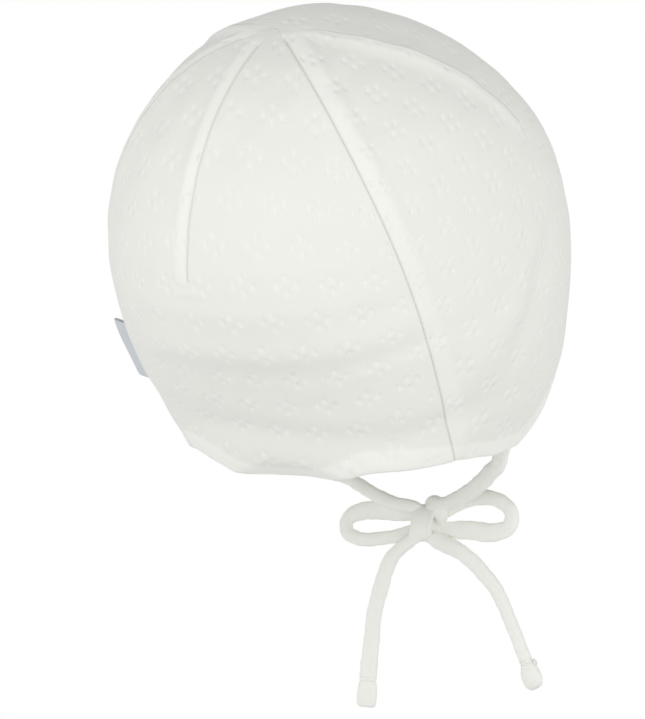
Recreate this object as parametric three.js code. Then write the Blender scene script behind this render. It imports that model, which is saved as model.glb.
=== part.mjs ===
// A baby bonnet in white patterned jersey, shaped as worn, with chin ties in a bow.
// Millimetres. +Z is up, the face looks along -Y, and the wearer's right is -X.
// The origin is where the crown sits on the head: the inside of the crown, at its highest point.

import * as THREE from 'three';

// Driving sizes of the bonnet

const CROWN_RADIUS = 77.7;
const WALL = 1.8;
const GAP = 0.3;
const HEAD_CENTRE = new THREE.Vector3(0, 0, WALL - CROWN_RADIUS);
const SEAM_POINT_BACK_TILT = 29;
const SEAM_POINT_SIDE_LEAN = 3;

// Distance from the head's centre to the outside of the cloth, by angle above the level plane
const SECTIONS = [
  { elevation: -64, side: 92.5, back: 78.1, front: 110.5 },
  { elevation: -52, side: 83.9, back: 71.7, front: 102.7 },
  { elevation: -40, side: 78.6, back: 70.6, front: 95.6 },
  { elevation: -25, side: 74.2, back: 74.2, front: 86.8 },
  { elevation: -10, side: 71.3, back: 77.9, front: 81.8 },
  { elevation: 10, side: 71.1, back: 80.2, front: 79.8 },
  { elevation: 30, side: 73.1, back: 81.2, front: 79.8 },
  { elevation: 50, side: 74.3, back: 81.8, front: 77.4 },
  { elevation: 70, side: 76.3, back: 80.7, front: 76.2 },
  { elevation: 90, side: CROWN_RADIUS, back: CROWN_RADIUS, front: CROWN_RADIUS },
];

// Lines that run down from the seam point: degrees round the head from the face, at four levels.
// The levels are polar angles from the seam point. Ends is where a dart runs out.
const LEVELS = { crown: 15, upper: 45, middle: 80, hem: 135 };
const BACK_DART = { crown: 176, upper: 180, middle: 183, hem: 183, ends: 71.5, ridge: 1.8 };
const SIDE_SEAM = { crown: 131, upper: 128, middle: 125.5, hem: 125, ends: 100, ridge: 2 };
const LEFT_SIDE_SEAM = { crown: 132, upper: 131, middle: 129, hem: 129.5, ends: 100, ridge: 2 };
const FLAP_LINE = { crown: 100, upper: 95, middle: 94, hem: 94, ends: 0, ridge: 0 };
const FRONT_DART = { crown: 76, upper: 62, middle: 59, hem: 59, ends: 68, ridge: 2.8 };
const CENTRE_FRONT = { crown: 0, upper: 0, middle: 0, hem: 0, ends: 0, ridge: 0 };
const RIDGE_REACH = 11;
const RIDGE_BASE = 0.4;
const RIDGE_START = 34;
const RIDGE_LAST_PART = 0.55;
const SEAM_POINT_DIP = 1.5;
const DIP_REACH = 28;

// The rim, as polar angle from the seam point: round the face opening, the same on both sides,
// and round the nape from the right flap corner to the left one, where it is tucked up a little
const FACE_RIM = [
  { azimuth: -18, polar: 107 },
  { azimuth: 0, polar: 104.5 },
  { azimuth: 18, polar: 107 },
  { azimuth: 37, polar: 112.5 },
  { azimuth: 50, polar: 121 },
  { azimuth: 62, polar: 131 },
  { azimuth: 74, polar: 138.5 },
  { azimuth: 84, polar: 142 },
  { azimuth: 94, polar: 143.5 },
];
const NAPE_RIM = [
  { azimuth: 94, polar: 143.5 },
  { azimuth: 108, polar: 139.5 },
  { azimuth: 125, polar: 131.5 },
  { azimuth: 138, polar: 128 },
  { azimuth: 151, polar: 127 },
  { azimuth: 165, polar: 130.6 },
  { azimuth: 180, polar: 131.8 },
  { azimuth: 192, polar: 129 },
  { azimuth: 200, polar: 126.3 },
  { azimuth: 210, polar: 125 },
  { azimuth: 220, polar: 128 },
  { azimuth: 230, polar: 133.5 },
  { azimuth: 245, polar: 141.5 },
  { azimuth: 266, polar: 149.5 },
];
const RIGHT_CORNER = NAPE_RIM[0].azimuth;
const LEFT_CORNER = 360 - RIGHT_CORNER;
const HEM_FLARE = 0.6;
const HEM_BAND = 9;
const CORNER_FADE = 16;

// Soft folds. Each runs between two azimuths through three polar angles, and is raised or sunk.
const FOLDS = [
  { name: 'nape_ridge', from: 116, to: 216, polar: [91, 91.5, 86], width: 5.5, height: 1 },
  { name: 'under_nape_ridge', from: 116, to: 212, polar: [96, 96.5, 92], width: 5, height: -0.4 },
  { name: 'back_ripple', from: 116, to: 214, polar: [82, 79.5, 76], width: 4.5, height: 0.6 },
  { name: 'hem_hollow', from: 96, to: 214, polar: [121, 119.5, 114], width: 5.5, height: -1.3 },
  { name: 'flap_crease', from: 66, to: 108, polar: [90, 104, 121], width: 7, height: -0.8 },
  { name: 'flap_swell', from: 84, to: 120, polar: [95, 106, 109], width: 7, height: 1 },
  { name: 'left_flap_crease', from: 252, to: 294, polar: [121, 104, 90], width: 6, height: -0.8 },
];
const FOLD_TAPER = 5;

// Steps of the panels between two lines, and from the seam point to the rim
const BACK_STEPS = 11;
const SIDE_STEPS = 6;
const FRONT_STEPS = 9;
const CROWN_ROWS = 9;
const NAPE_ROWS = 17;
const CROWN_SHARE = 0.52;
const LINE_CLUSTER = 0.6;
const TIP_POLAR = 0.4;
const RIM_ROUNDS = 30;

// The small tape tag in the wearer's left side seam
const TAG_LENGTH = 21;
const TAG_REACH = 8.9;
const TAG_THICKNESS = 1;
const TAG_POLAR = 103;
const TAG_LEAN = new THREE.Vector3(0.885, -0.42, 0.18).normalize();

// The chin ties: a jersey tube, and the bow that it is tied in
const TIE_DIAMETER = 4.3;
const TIE_SIDES = 8;
const TIE_STEP = 0.8 * TIE_DIAMETER;
const KNOT_CENTRE = new THREE.Vector3(0, -45.6, -89);
const KNOT_SIZE = { across: 7.2, deep: 9, high: 13, squareness: 0.72 };
const KNOT_SIDES = 14;
const KNOT_ROWS = 10;
const BOW_YAW = 15;
const TAIL_END = { width: 7.4, height: 9.2, thickness: 3, corner: 1.6 };
const RIGHT_END_TURN = BOW_YAW + 15;
const LEFT_END_TURN = BOW_YAW;

// Colours
const JERSEY = { color: 0xf3f3ec, roughness: 0.92, metalness: 0 };
const TAPE = { color: 0xe6eaee, roughness: 0.7, metalness: 0 };

const RADIANS = Math.PI / 180;
const Z_UP = new THREE.Vector3(0, 0, 1);

const SEAM_AXIS = new THREE.Vector3(
  -Math.sin(SEAM_POINT_SIDE_LEAN * RADIANS),
  Math.sin(SEAM_POINT_BACK_TILT * RADIANS) * Math.cos(SEAM_POINT_SIDE_LEAN * RADIANS),
  Math.cos(SEAM_POINT_BACK_TILT * RADIANS) * Math.cos(SEAM_POINT_SIDE_LEAN * RADIANS),
);
const FACE_WAY = new THREE.Vector3(
  0,
  -Math.cos(SEAM_POINT_BACK_TILT * RADIANS),
  Math.sin(SEAM_POINT_BACK_TILT * RADIANS),
);
FACE_WAY.addScaledVector(SEAM_AXIS, -FACE_WAY.dot(SEAM_AXIS)).normalize();
const RIGHT_WAY = new THREE.Vector3().crossVectors(FACE_WAY, SEAM_AXIS);

// A smooth curve through a table's rows: the value of one column at a place on another
function tableValue(rows, key, value, place) {
  const last = rows.length - 1;
  if (place <= rows[0][key]) return rows[0][value];
  if (place >= rows[last][key]) return rows[last][value];
  let i = 0;
  while (place > rows[i + 1][key]) i += 1;
  const slope = (a, b) => (rows[b][value] - rows[a][value]) / (rows[b][key] - rows[a][key]);
  const span = rows[i + 1][key] - rows[i][key];
  const t = (place - rows[i][key]) / span;
  const startSlope = slope(Math.max(i - 1, 0), i + 1);
  const endSlope = slope(i, Math.min(i + 2, last));
  return (
    (1 + 2 * t) * (1 - t) ** 2 * rows[i][value] +
    t * (1 - t) ** 2 * span * startSlope +
    t * t * (3 - 2 * t) * rows[i + 1][value] +
    t * t * (t - 1) * span * endSlope
  );
}

function wholeTurn(azimuth) {
  return ((azimuth % 360) + 360) % 360;
}

function smoothStep(low, high, x) {
  const t = Math.min(Math.max((x - low) / (high - low), 0), 1);
  return t * t * (3 - 2 * t);
}

// The azimuth of a line at a polar angle, and its mirror on the wearer's left
function lineAzimuth(line, polar) {
  const rows = Object.keys(LEVELS).map((level) => ({ polar: LEVELS[level], azimuth: line[level] }));
  return tableValue(rows, 'polar', 'azimuth', polar);
}

function rightLine(line) {
  return (polar) => lineAzimuth(line, polar);
}

function leftLine(line) {
  return (polar) => 360 - lineAzimuth(line, polar);
}

// The seam point leans to the right, so on the left the face rim lies further from it
function rimPolar(azimuth) {
  if (azimuth >= RIGHT_CORNER && azimuth <= LEFT_CORNER) {
    return tableValue(NAPE_RIM, 'azimuth', 'polar', azimuth);
  }
  const folded = azimuth > 180 ? 360 - azimuth : azimuth;
  const levelled = azimuth > 180 ? 2 * SEAM_POINT_SIDE_LEAN * Math.sin(folded * RADIANS) : 0;
  return tableValue(FACE_RIM, 'azimuth', 'polar', folded) + levelled;
}

function direction(azimuth, polar) {
  const a = azimuth * RADIANS;
  const p = polar * RADIANS;
  return new THREE.Vector3()
    .addScaledVector(FACE_WAY, Math.sin(p) * Math.cos(a))
    .addScaledVector(RIGHT_WAY, Math.sin(p) * Math.sin(a))
    .addScaledVector(SEAM_AXIS, Math.cos(p));
}

// Distance from the head's centre to the smooth cloth
function smoothRadius(way) {
  const elevation = Math.asin(Math.min(Math.max(way.z, -1), 1)) / RADIANS;
  const level = Math.hypot(way.x, way.y) + 1e-9;
  const side = tableValue(SECTIONS, 'elevation', 'side', elevation);
  const end = tableValue(SECTIONS, 'elevation', way.y > 0 ? 'back' : 'front', elevation);
  return 1 / Math.hypot(way.x / level / side, way.y / level / end);
}

const SEAM_LINES = [
  { ...BACK_DART, at: rightLine(BACK_DART) },
  { ...SIDE_SEAM, at: rightLine(SIDE_SEAM) },
  { ...LEFT_SIDE_SEAM, at: leftLine(LEFT_SIDE_SEAM) },
  { ...FRONT_DART, at: rightLine(FRONT_DART) },
  { ...FRONT_DART, at: leftLine(FRONT_DART) },
];

// The cloth stands up in a ridge along each seam and dart near the crown
function seamRidge(azimuth, polar, radius) {
  let height = 0;
  for (const line of SEAM_LINES) {
    const turn = ((azimuth - line.at(polar) + 540) % 360) - 180;
    const away = Math.abs(turn) * RADIANS * radius * Math.sin(polar * RADIANS);
    const start = smoothStep(0, RIDGE_START, polar);
    const fade = start * (1 - smoothStep(line.ends * (1 - RIDGE_LAST_PART), line.ends, polar));
    height = Math.max(height, line.ridge * fade * (Math.exp(-away / RIDGE_REACH) - RIDGE_BASE));
  }
  return height;
}

function softFolds(azimuth, polar, radius) {
  let height = 0;
  for (const fold of FOLDS) {
    const t = (azimuth - fold.from) / (fold.to - fold.from);
    if (t > 0 && t < 1) {
      const [start, middle, end] = fold.polar;
      const along = start * (1 - t) * (1 - 2 * t) + middle * 4 * t * (1 - t) + end * t * (2 * t - 1);
      const away = (polar - along) * RADIANS * radius;
      const taper = smoothStep(0, 1, Math.min(1, FOLD_TAPER * t, FOLD_TAPER * (1 - t)));
      height += fold.height * taper * Math.exp(-((away / fold.width) ** 2));
    }
  }
  return height;
}

// A point of the cloth. Depth is how far it lies inside the outer face.
function clothPoint(azimuth, polar, depth) {
  const turned = wholeTurn(azimuth);
  const way = direction(turned, polar);
  const radius = smoothRadius(way);
  const toRim = (rimPolar(turned) - polar) * RADIANS * radius;
  const onNape =
    smoothStep(RIGHT_CORNER, RIGHT_CORNER + CORNER_FADE, turned) *
    smoothStep(360 - LEFT_CORNER, 360 - LEFT_CORNER + CORNER_FADE, 360 - turned);
  const flare = HEM_FLARE * onNape * (1 - smoothStep(0, HEM_BAND, toRim));
  const dip = SEAM_POINT_DIP * (1 - smoothStep(0, DIP_REACH, polar));
  const relief = seamRidge(turned, polar, radius) + softFolds(turned, polar, radius) + flare - dip;
  return way.multiplyScalar(radius + relief - depth).add(HEAD_CENTRE);
}

// Columns of a panel: each is a function from polar angle to azimuth, closer together at the lines
function panelColumns(lines, steps) {
  const columns = [];
  for (let i = 0; i + 1 < lines.length; i += 1) {
    for (let step = i === 0 ? 0 : 1; step <= steps[i]; step += 1) {
      const even = step / steps[i];
      const t = even - (LINE_CLUSTER * Math.sin(2 * Math.PI * even)) / (2 * Math.PI);
      columns.push((polar) => lines[i](polar) * (1 - t) + lines[i + 1](polar) * t);
    }
  }
  return columns;
}

// The polar angle where a column meets the rim, found by halving the way to it each round
function columnRim(column) {
  let polar = LEVELS.hem;
  for (let i = 0; i < RIM_ROUNDS; i += 1) {
    polar = (polar + rimPolar(wholeTurn(column(polar)))) / 2;
  }
  return polar;
}

function rowShare(row) {
  if (row <= CROWN_ROWS) return (CROWN_SHARE * row) / CROWN_ROWS;
  return CROWN_SHARE + ((1 - CROWN_SHARE) * (row - CROWN_ROWS)) / NAPE_ROWS;
}

// A panel of cloth as a closed wall: outer grid, inner grid and the strip round its edge.
// Its first row is a single tip beside the seam point. Both side edges keep half the gap.
function panelGeometry(lines, steps, tipAzimuth) {
  const columns = panelColumns(lines, steps);
  const rows = CROWN_ROWS + NAPE_ROWS;
  const turnWay = Math.sign(columns[1](90) - columns[0](90));
  const rims = columns.map(columnRim);
  const points = [];
  const tip = (side) => side * (1 + rows * columns.length);
  const index = (side, row, column) => tip(side) + 1 + (row - 1) * columns.length + column;
  for (const depth of [0, WALL]) {
    points.push(clothPoint(tipAzimuth, TIP_POLAR, depth));
    for (let row = 1; row <= rows; row += 1) {
      columns.forEach((column, i) => {
        const polar = rims[i] * rowShare(row);
        const edge = i === 0 ? 1 : i === columns.length - 1 ? -1 : 0;
        const inset = GAP / 2 / (CROWN_RADIUS * Math.sin(polar * RADIANS)) / RADIANS;
        points.push(clothPoint(column(polar) + edge * turnWay * inset, polar, depth));
      });
    }
  }
  const faces = [];
  const quad = (a, b, c, d) => faces.push(a, b, c, a, c, d);
  const last = columns.length - 1;
  for (const side of [0, 1]) {
    for (let i = 0; i < last; i += 1) {
      const fan = [tip(side), index(side, 1, i), index(side, 1, i + 1)];
      faces.push(...(side === 0 ? fan : fan.reverse()));
      for (let row = 1; row < rows; row += 1) {
        const upper = [index(side, row, i), index(side, row, i + 1)];
        const lower = [index(side, row + 1, i), index(side, row + 1, i + 1)];
        const ring = [upper[0], lower[0], lower[1], upper[1]];
        quad(...(side === 0 ? ring : ring.reverse()));
      }
    }
  }
  for (const [column, forward] of [[0, true], [last, false]]) {
    for (let row = 0; row < rows; row += 1) {
      const above = (side) => (row === 0 ? tip(side) : index(side, row, column));
      const wall = [above(0), above(1), index(1, row + 1, column), index(0, row + 1, column)];
      quad(...(forward ? wall : wall.reverse()));
    }
  }
  for (let i = 0; i < last; i += 1) {
    quad(index(0, rows, i), index(1, rows, i), index(1, rows, i + 1), index(0, rows, i + 1));
  }
  return facedOut(points, faces);
}

// A geometry from points and triangles, turned so that its faces point out
function facedOut(points, faces) {
  let volume = 0;
  for (let i = 0; i < faces.length; i += 3) {
    const [a, b, c] = [points[faces[i]], points[faces[i + 1]], points[faces[i + 2]]];
    volume += a.dot(new THREE.Vector3().crossVectors(b, c));
  }
  const geometry = new THREE.BufferGeometry().setFromPoints(points);
  geometry.setIndex(volume > 0 ? faces : faces.reverse());
  geometry.computeVertexNormals();
  return geometry;
}

// The tag: a flat tape, curved along the seam and leaning forward over the front panel
function tagGeometry() {
  const geometry = new THREE.BoxGeometry(1, 1, 1, 6, 3, 1);
  const place = geometry.attributes.position;
  const seam = leftLine(LEFT_SIDE_SEAM);
  const reachToSeam = clothPoint(seam(TAG_POLAR), TAG_POLAR, 0).distanceTo(HEAD_CENTRE);
  for (let i = 0; i < place.count; i += 1) {
    const polar = TAG_POLAR + (place.getX(i) * TAG_LENGTH) / reachToSeam / RADIANS;
    const onSeam = clothPoint(seam(polar), polar, 0);
    const along = clothPoint(seam(polar + 1), polar + 1, 0).sub(onSeam).normalize();
    const across = new THREE.Vector3().crossVectors(along, TAG_LEAN).normalize();
    const reach = GAP + TAG_THICKNESS + (place.getY(i) + 0.5) * (TAG_REACH - TAG_THICKNESS);
    onSeam.addScaledVector(TAG_LEAN, reach).addScaledVector(across, place.getZ(i) * TAG_THICKNESS);
    place.setXYZ(i, onSeam.x, onSeam.y, onSeam.z);
  }
  geometry.deleteAttribute('normal');
  geometry.deleteAttribute('uv');
  return geometry;
}

// The bow's own axes: across to the wearer's right, and deep towards the back of the head
const BOW_ACROSS = new THREE.Vector3(-Math.cos(BOW_YAW * RADIANS), -Math.sin(BOW_YAW * RADIANS), 0);
const BOW_DEEP = new THREE.Vector3(-Math.sin(BOW_YAW * RADIANS), Math.cos(BOW_YAW * RADIANS), 0);

// A point by its places across, deep and up from the knot's centre
function bowPoint(across, deep, up) {
  return KNOT_CENTRE.clone()
    .add(HEAD_CENTRE)
    .addScaledVector(BOW_ACROSS, across)
    .addScaledVector(BOW_DEEP, deep)
    .addScaledVector(Z_UP, up);
}

// A point by its place from the head's centre
function headPoint(x, y, z) {
  return new THREE.Vector3(x, y, z).add(HEAD_CENTRE);
}

// The routes of the tube. Ties run from the flap corners, the rest from the knot.
const ROUTES = {
  chin_tie_right: [
    headPoint(-49.2, -23.3, -57.2),
    bowPoint(35.6, 24.5, 18.8),
    bowPoint(31.4, 21.1, 15.8),
    bowPoint(25.6, 16.6, 11.9),
    bowPoint(17.8, 10.4, 8.4),
    bowPoint(9.3, 3.7, 5.8),
    bowPoint(4.3, 2.4, 4.6),
  ],
  chin_tie_left: [
    headPoint(51.7, -18.4, -54.6),
    bowPoint(-38, 3.8, 17.2),
    bowPoint(-26.3, 3.3, 13.6),
    bowPoint(-17, 2.9, 8.4),
    bowPoint(-10, 2.7, 5.6),
    bowPoint(-4.3, 2.4, 4.6),
  ],
  bow_loop_right: [
    bowPoint(4.3, -1.6, 1.8),
    bowPoint(10.9, -1.6, 5.6),
    bowPoint(17.3, -1.6, 7.4),
    bowPoint(23.9, -1.5, 6.8),
    bowPoint(29.2, -1.3, 2.8),
    bowPoint(28.5, -1, -2),
    bowPoint(23.2, -1, -3.9),
    bowPoint(14.5, -1.2, -3.2),
    bowPoint(4.4, -1.4, -2.8),
  ],
  bow_loop_left: [
    bowPoint(-4.3, -1.6, 1.8),
    bowPoint(-13.4, -1.6, 3),
    bowPoint(-22.4, -1.5, 3),
    bowPoint(-28, -1.3, 0.6),
    bowPoint(-28.4, -1, -3.6),
    bowPoint(-24.4, -1, -6),
    bowPoint(-17, -1.2, -6),
    bowPoint(-9.6, -1.4, -4.7),
    bowPoint(-4.4, -1.4, -3),
  ],
  tie_tail_right: [
    bowPoint(3.8, 1, -7.9),
    bowPoint(9.2, 1.6, -8.6),
    bowPoint(14.2, 1.4, -11.3),
    bowPoint(18.5, 1, -15.2),
    bowPoint(25, 0.6, -22.9),
    bowPoint(28.8, 0.6, -30.7),
    bowPoint(32.2, 0.6, -38.4),
    bowPoint(35.1, 0.6, -45.5),
  ],
  tie_tail_left: [
    bowPoint(-3.8, 1, -8.1),
    bowPoint(-8.3, 1.6, -8.9),
    bowPoint(-11.3, 1.4, -11.7),
    bowPoint(-13.4, 1, -15.2),
    bowPoint(-16.1, 0.6, -22.9),
    bowPoint(-18.2, 0.6, -30.7),
    bowPoint(-19, 0.6, -38.4),
    bowPoint(-19.9, 0.6, -46.2),
    bowPoint(-20.3, 0.6, -51.2),
  ],
};

function tubeGeometry(route) {
  const curve = new THREE.CatmullRomCurve3(route, false, 'centripetal');
  const section = new THREE.Shape();
  for (let i = 0; i < TIE_SIDES; i += 1) {
    const turn = ((i + 0.5) / TIE_SIDES) * 2 * Math.PI;
    const [x, y] = [(TIE_DIAMETER / 2) * Math.cos(turn), (TIE_DIAMETER / 2) * Math.sin(turn)];
    if (i === 0) section.moveTo(x, y);
    else section.lineTo(x, y);
  }
  section.closePath();
  const steps = Math.round(curve.getLength() / TIE_STEP);
  return new THREE.ExtrudeGeometry(section, { extrudePath: curve, steps });
}

// The knot: a rounded block with bulging faces, a ball pushed out towards its corners.
// The bow's axes are left-handed, so the ball is mirrored across.
function knotGeometry() {
  const geometry = new THREE.SphereGeometry(1, KNOT_SIDES, KNOT_ROWS);
  geometry.rotateX(Math.PI / 2);
  const place = geometry.attributes.position;
  const swell = (t) => Math.sign(t) * Math.abs(t) ** KNOT_SIZE.squareness;
  for (let i = 0; i < place.count; i += 1) {
    const [x, y, z] = [place.getX(i), place.getY(i), place.getZ(i)].map(swell);
    const scale = 1 / Math.sqrt(Math.hypot(x, y, z));
    const at = bowPoint(
      (-x * scale * KNOT_SIZE.across) / 2,
      (y * scale * KNOT_SIZE.deep) / 2,
      (z * scale * KNOT_SIZE.high) / 2,
    );
    place.setXYZ(i, at.x, at.y, at.z);
  }
  geometry.deleteAttribute('normal');
  geometry.deleteAttribute('uv');
  return geometry;
}

// A sewn tail end: a flat tab with round corners that hangs on from its tube
function tailEndGeometry() {
  const { width, height, thickness, corner } = TAIL_END;
  const shape = new THREE.Shape();
  shape.moveTo(-width / 2 + corner, -height);
  shape.lineTo(width / 2 - corner, -height);
  shape.absarc(width / 2 - corner, -height + corner, corner, -Math.PI / 2, 0);
  shape.lineTo(width / 2 - corner / 2, -corner / 2);
  shape.lineTo(width / 2 - corner, 0);
  shape.lineTo(-width / 2 + corner, 0);
  shape.lineTo(-width / 2 + corner / 2, -corner / 2);
  shape.lineTo(-width / 2, -height + corner);
  shape.absarc(-width / 2 + corner, -height + corner, corner, Math.PI, 1.5 * Math.PI);
  const geometry = new THREE.ExtrudeGeometry(shape, {
    depth: thickness,
    bevelEnabled: false,
    curveSegments: 4,
  });
  geometry.translate(0, 0, -thickness / 2);
  geometry.rotateX(Math.PI / 2);
  return geometry;
}

function namedMesh(name, geometry, finish) {
  const mesh = new THREE.Mesh(geometry, new THREE.MeshStandardMaterial(finish));
  mesh.name = name;
  return mesh;
}

// Hangs a tail end from the last point of its route, turned about the upright
function tailEnd(name, route, turn) {
  const mesh = namedMesh(name, tailEndGeometry(), JERSEY);
  const [before, end] = route.slice(-2);
  const down = end.clone().sub(before).normalize();
  mesh.position.copy(end).addScaledVector(down, GAP);
  mesh.quaternion.setFromUnitVectors(Z_UP.clone().negate(), down);
  mesh.rotateZ(turn * RADIANS);
  return mesh;
}

const bonnet = new THREE.Group();
bonnet.name = 'baby_bonnet';

bonnet.add(
  namedMesh(
    'back_panel',
    panelGeometry(
      [rightLine(SIDE_SEAM), rightLine(BACK_DART), leftLine(LEFT_SIDE_SEAM)],
      [BACK_STEPS, BACK_STEPS],
      180,
    ),
    JERSEY,
  ),
  namedMesh(
    'front_panel',
    panelGeometry(
      [
        (polar) => leftLine(LEFT_SIDE_SEAM)(polar) - 360,
        (polar) => leftLine(FLAP_LINE)(polar) - 360,
        (polar) => leftLine(FRONT_DART)(polar) - 360,
        rightLine(CENTRE_FRONT),
        rightLine(FRONT_DART),
        rightLine(FLAP_LINE),
        rightLine(SIDE_SEAM),
      ],
      [SIDE_STEPS, SIDE_STEPS, FRONT_STEPS, FRONT_STEPS, SIDE_STEPS, SIDE_STEPS],
      0,
    ),
    JERSEY,
  ),
  namedMesh('side_tag', tagGeometry(), TAPE),
  namedMesh('bow_knot', knotGeometry(), JERSEY),
);
for (const [name, route] of Object.entries(ROUTES)) {
  bonnet.add(namedMesh(name, tubeGeometry(route), JERSEY));
}
bonnet.add(tailEnd('tail_end_right', ROUTES.tie_tail_right, RIGHT_END_TURN));
bonnet.add(tailEnd('tail_end_left', ROUTES.tie_tail_left, LEFT_END_TURN));

export default bonnet;
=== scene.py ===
"""A baby bonnet in white patterned jersey, shaped as worn, with chin ties in a bow.

Metres, in the part's own frame: +Z is up, the face looks along -Y, the wearer's right is -X.
Sizes in the tables are millimetres, and are turned to metres as each mesh is made.
"""

import logging
import math
from dataclasses import dataclass, field
from enum import Enum
from typing import Any

import bpy
import numpy as np
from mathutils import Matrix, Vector


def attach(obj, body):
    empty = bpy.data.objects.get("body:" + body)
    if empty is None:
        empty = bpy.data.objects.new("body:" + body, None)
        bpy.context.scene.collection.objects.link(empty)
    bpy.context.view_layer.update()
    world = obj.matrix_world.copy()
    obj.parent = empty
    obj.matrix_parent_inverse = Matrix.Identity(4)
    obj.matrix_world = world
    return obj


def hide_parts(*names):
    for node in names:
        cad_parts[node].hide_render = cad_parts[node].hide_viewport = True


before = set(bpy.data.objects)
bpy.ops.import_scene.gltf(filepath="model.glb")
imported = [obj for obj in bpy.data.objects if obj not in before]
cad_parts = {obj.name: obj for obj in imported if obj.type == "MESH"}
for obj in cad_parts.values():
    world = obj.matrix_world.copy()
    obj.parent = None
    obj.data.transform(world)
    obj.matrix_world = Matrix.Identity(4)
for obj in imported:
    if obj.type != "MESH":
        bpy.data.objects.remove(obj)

LOG = logging.getLogger("bonnet")
MM = 0.001
FULL_TURN = 360.0
HEAD_CENTRE = np.array([0.0, 0.0, -75.9])


def curve_value(rows: tuple, column: int, place: Any) -> np.ndarray:
    """Reads a smooth curve through a table's rows.

    Args:
        rows: Rows of numbers, sorted by their first column.
        column: Which column to read.
        place: Where to read it, on the first column.

    Returns:
        The column's value at each place.
    """
    keys = np.array([row[0] for row in rows], float)
    values = np.array([row[column] for row in rows], float)
    place = np.clip(np.asarray(place, float), keys[0], keys[-1])
    i = np.clip(np.searchsorted(keys, place, side="right") - 1, 0, len(keys) - 2)
    before = np.maximum(i - 1, 0)
    after = np.minimum(i + 2, len(keys) - 1)
    span = keys[i + 1] - keys[i]
    t = (place - keys[i]) / span
    start = (values[i + 1] - values[before]) / (keys[i + 1] - keys[before])
    end = (values[after] - values[i]) / (keys[after] - keys[i])
    return (
        (1 + 2 * t) * (1 - t) ** 2 * values[i]
        + t * (1 - t) ** 2 * span * start
        + t * t * (3 - 2 * t) * values[i + 1]
        + t * t * (t - 1) * span * end
    )


def smooth_step(low: float, high: float, x: Any) -> np.ndarray:
    """Rises smoothly from 0 at low to 1 at high.

    Args:
        low: Where it starts.
        high: Where it ends.
        x: Where to read it.

    Returns:
        The step's value at each place.
    """
    t = np.clip((np.asarray(x, float) - low) / (high - low), 0, 1)
    return t * t * (3 - 2 * t)


def unit(v: Any) -> np.ndarray:
    """Returns vectors of length 1 along v."""
    v = np.asarray(v, float)
    return v / np.linalg.norm(v, axis=-1, keepdims=True)


class Line(Enum):
    """The lines that run down from the seam point."""

    BACK_DART = "back dart"
    SIDE_SEAM = "side seam"
    LEFT_SIDE_SEAM = "left side seam"
    FLAP_LINE = "flap line"
    FRONT_DART = "front dart"
    CENTRE_FRONT = "centre front"


@dataclass(frozen=True)
class LineRow:
    """A line's azimuth at four polar angles, where it runs out, and how far its ridge stands up."""

    crown: float
    upper: float
    middle: float
    hem: float
    ends: float = 0.0
    ridge: float = 0.0


LINES: dict[Line, LineRow] = {
    Line.BACK_DART: LineRow(176, 180, 183, 183, 71.5, 1.8),
    Line.SIDE_SEAM: LineRow(131, 128, 125.5, 125, 100, 2.0),
    Line.LEFT_SIDE_SEAM: LineRow(132, 131, 129, 129.5, 100, 2.0),
    Line.FLAP_LINE: LineRow(100, 95, 94, 94),
    Line.FRONT_DART: LineRow(76, 62, 59, 59, 68, 2.8),
    Line.CENTRE_FRONT: LineRow(0, 0, 0, 0),
}


@dataclass(frozen=True)
class Seam:
    """A sewn line, and the folded allowance that shows through on one side of it."""

    line: Line
    left: bool
    side: int
    width: float
    height: float


SEAMS = (
    Seam(Line.BACK_DART, False, 1, 5.0, 0.4),
    Seam(Line.SIDE_SEAM, False, -1, 6.3, 0.5),
    Seam(Line.LEFT_SIDE_SEAM, True, 1, 6.3, 0.5),
    Seam(Line.FRONT_DART, False, 1, 5.6, 0.6),
    Seam(Line.FRONT_DART, True, -1, 5.6, 0.6),
)


def line_azimuth(line: Line, polar: Any) -> np.ndarray:
    """Finds a line's azimuth on the wearer's right.

    Args:
        line: Which line.
        polar: Degrees from the seam point.

    Returns:
        Degrees round the head from the face.
    """
    row = LINES[line]
    levels = ((15, row.crown), (45, row.upper), (80, row.middle), (135, row.hem))
    return curve_value(levels, 1, polar)


@dataclass(frozen=True)
class Fold:
    """A soft fold between two azimuths, through three polar angles."""

    start: float
    end: float
    polars: tuple[float, float, float]
    width: float
    height: float

    def relief(self, azimuth: np.ndarray, polar: np.ndarray, radius: np.ndarray) -> np.ndarray:
        """Measures how far the fold lifts the cloth.

        Args:
            azimuth: Degrees round the head.
            polar: Degrees from the seam point.
            radius: Millimetres from the head's centre.

        Returns:
            Millimetres, raised or sunk.
        """
        t = np.clip((azimuth - self.start) / (self.end - self.start), 0, 1)
        a, b, c = self.polars
        along = a * (1 - t) * (1 - 2 * t) + b * 4 * t * (1 - t) + c * t * (2 * t - 1)
        away = np.radians(polar - along) * radius
        taper = smooth_step(0, 1, np.minimum(1, 5 * np.minimum(t, 1 - t)))
        return self.height * taper * np.exp(-((away / self.width) ** 2))


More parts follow.
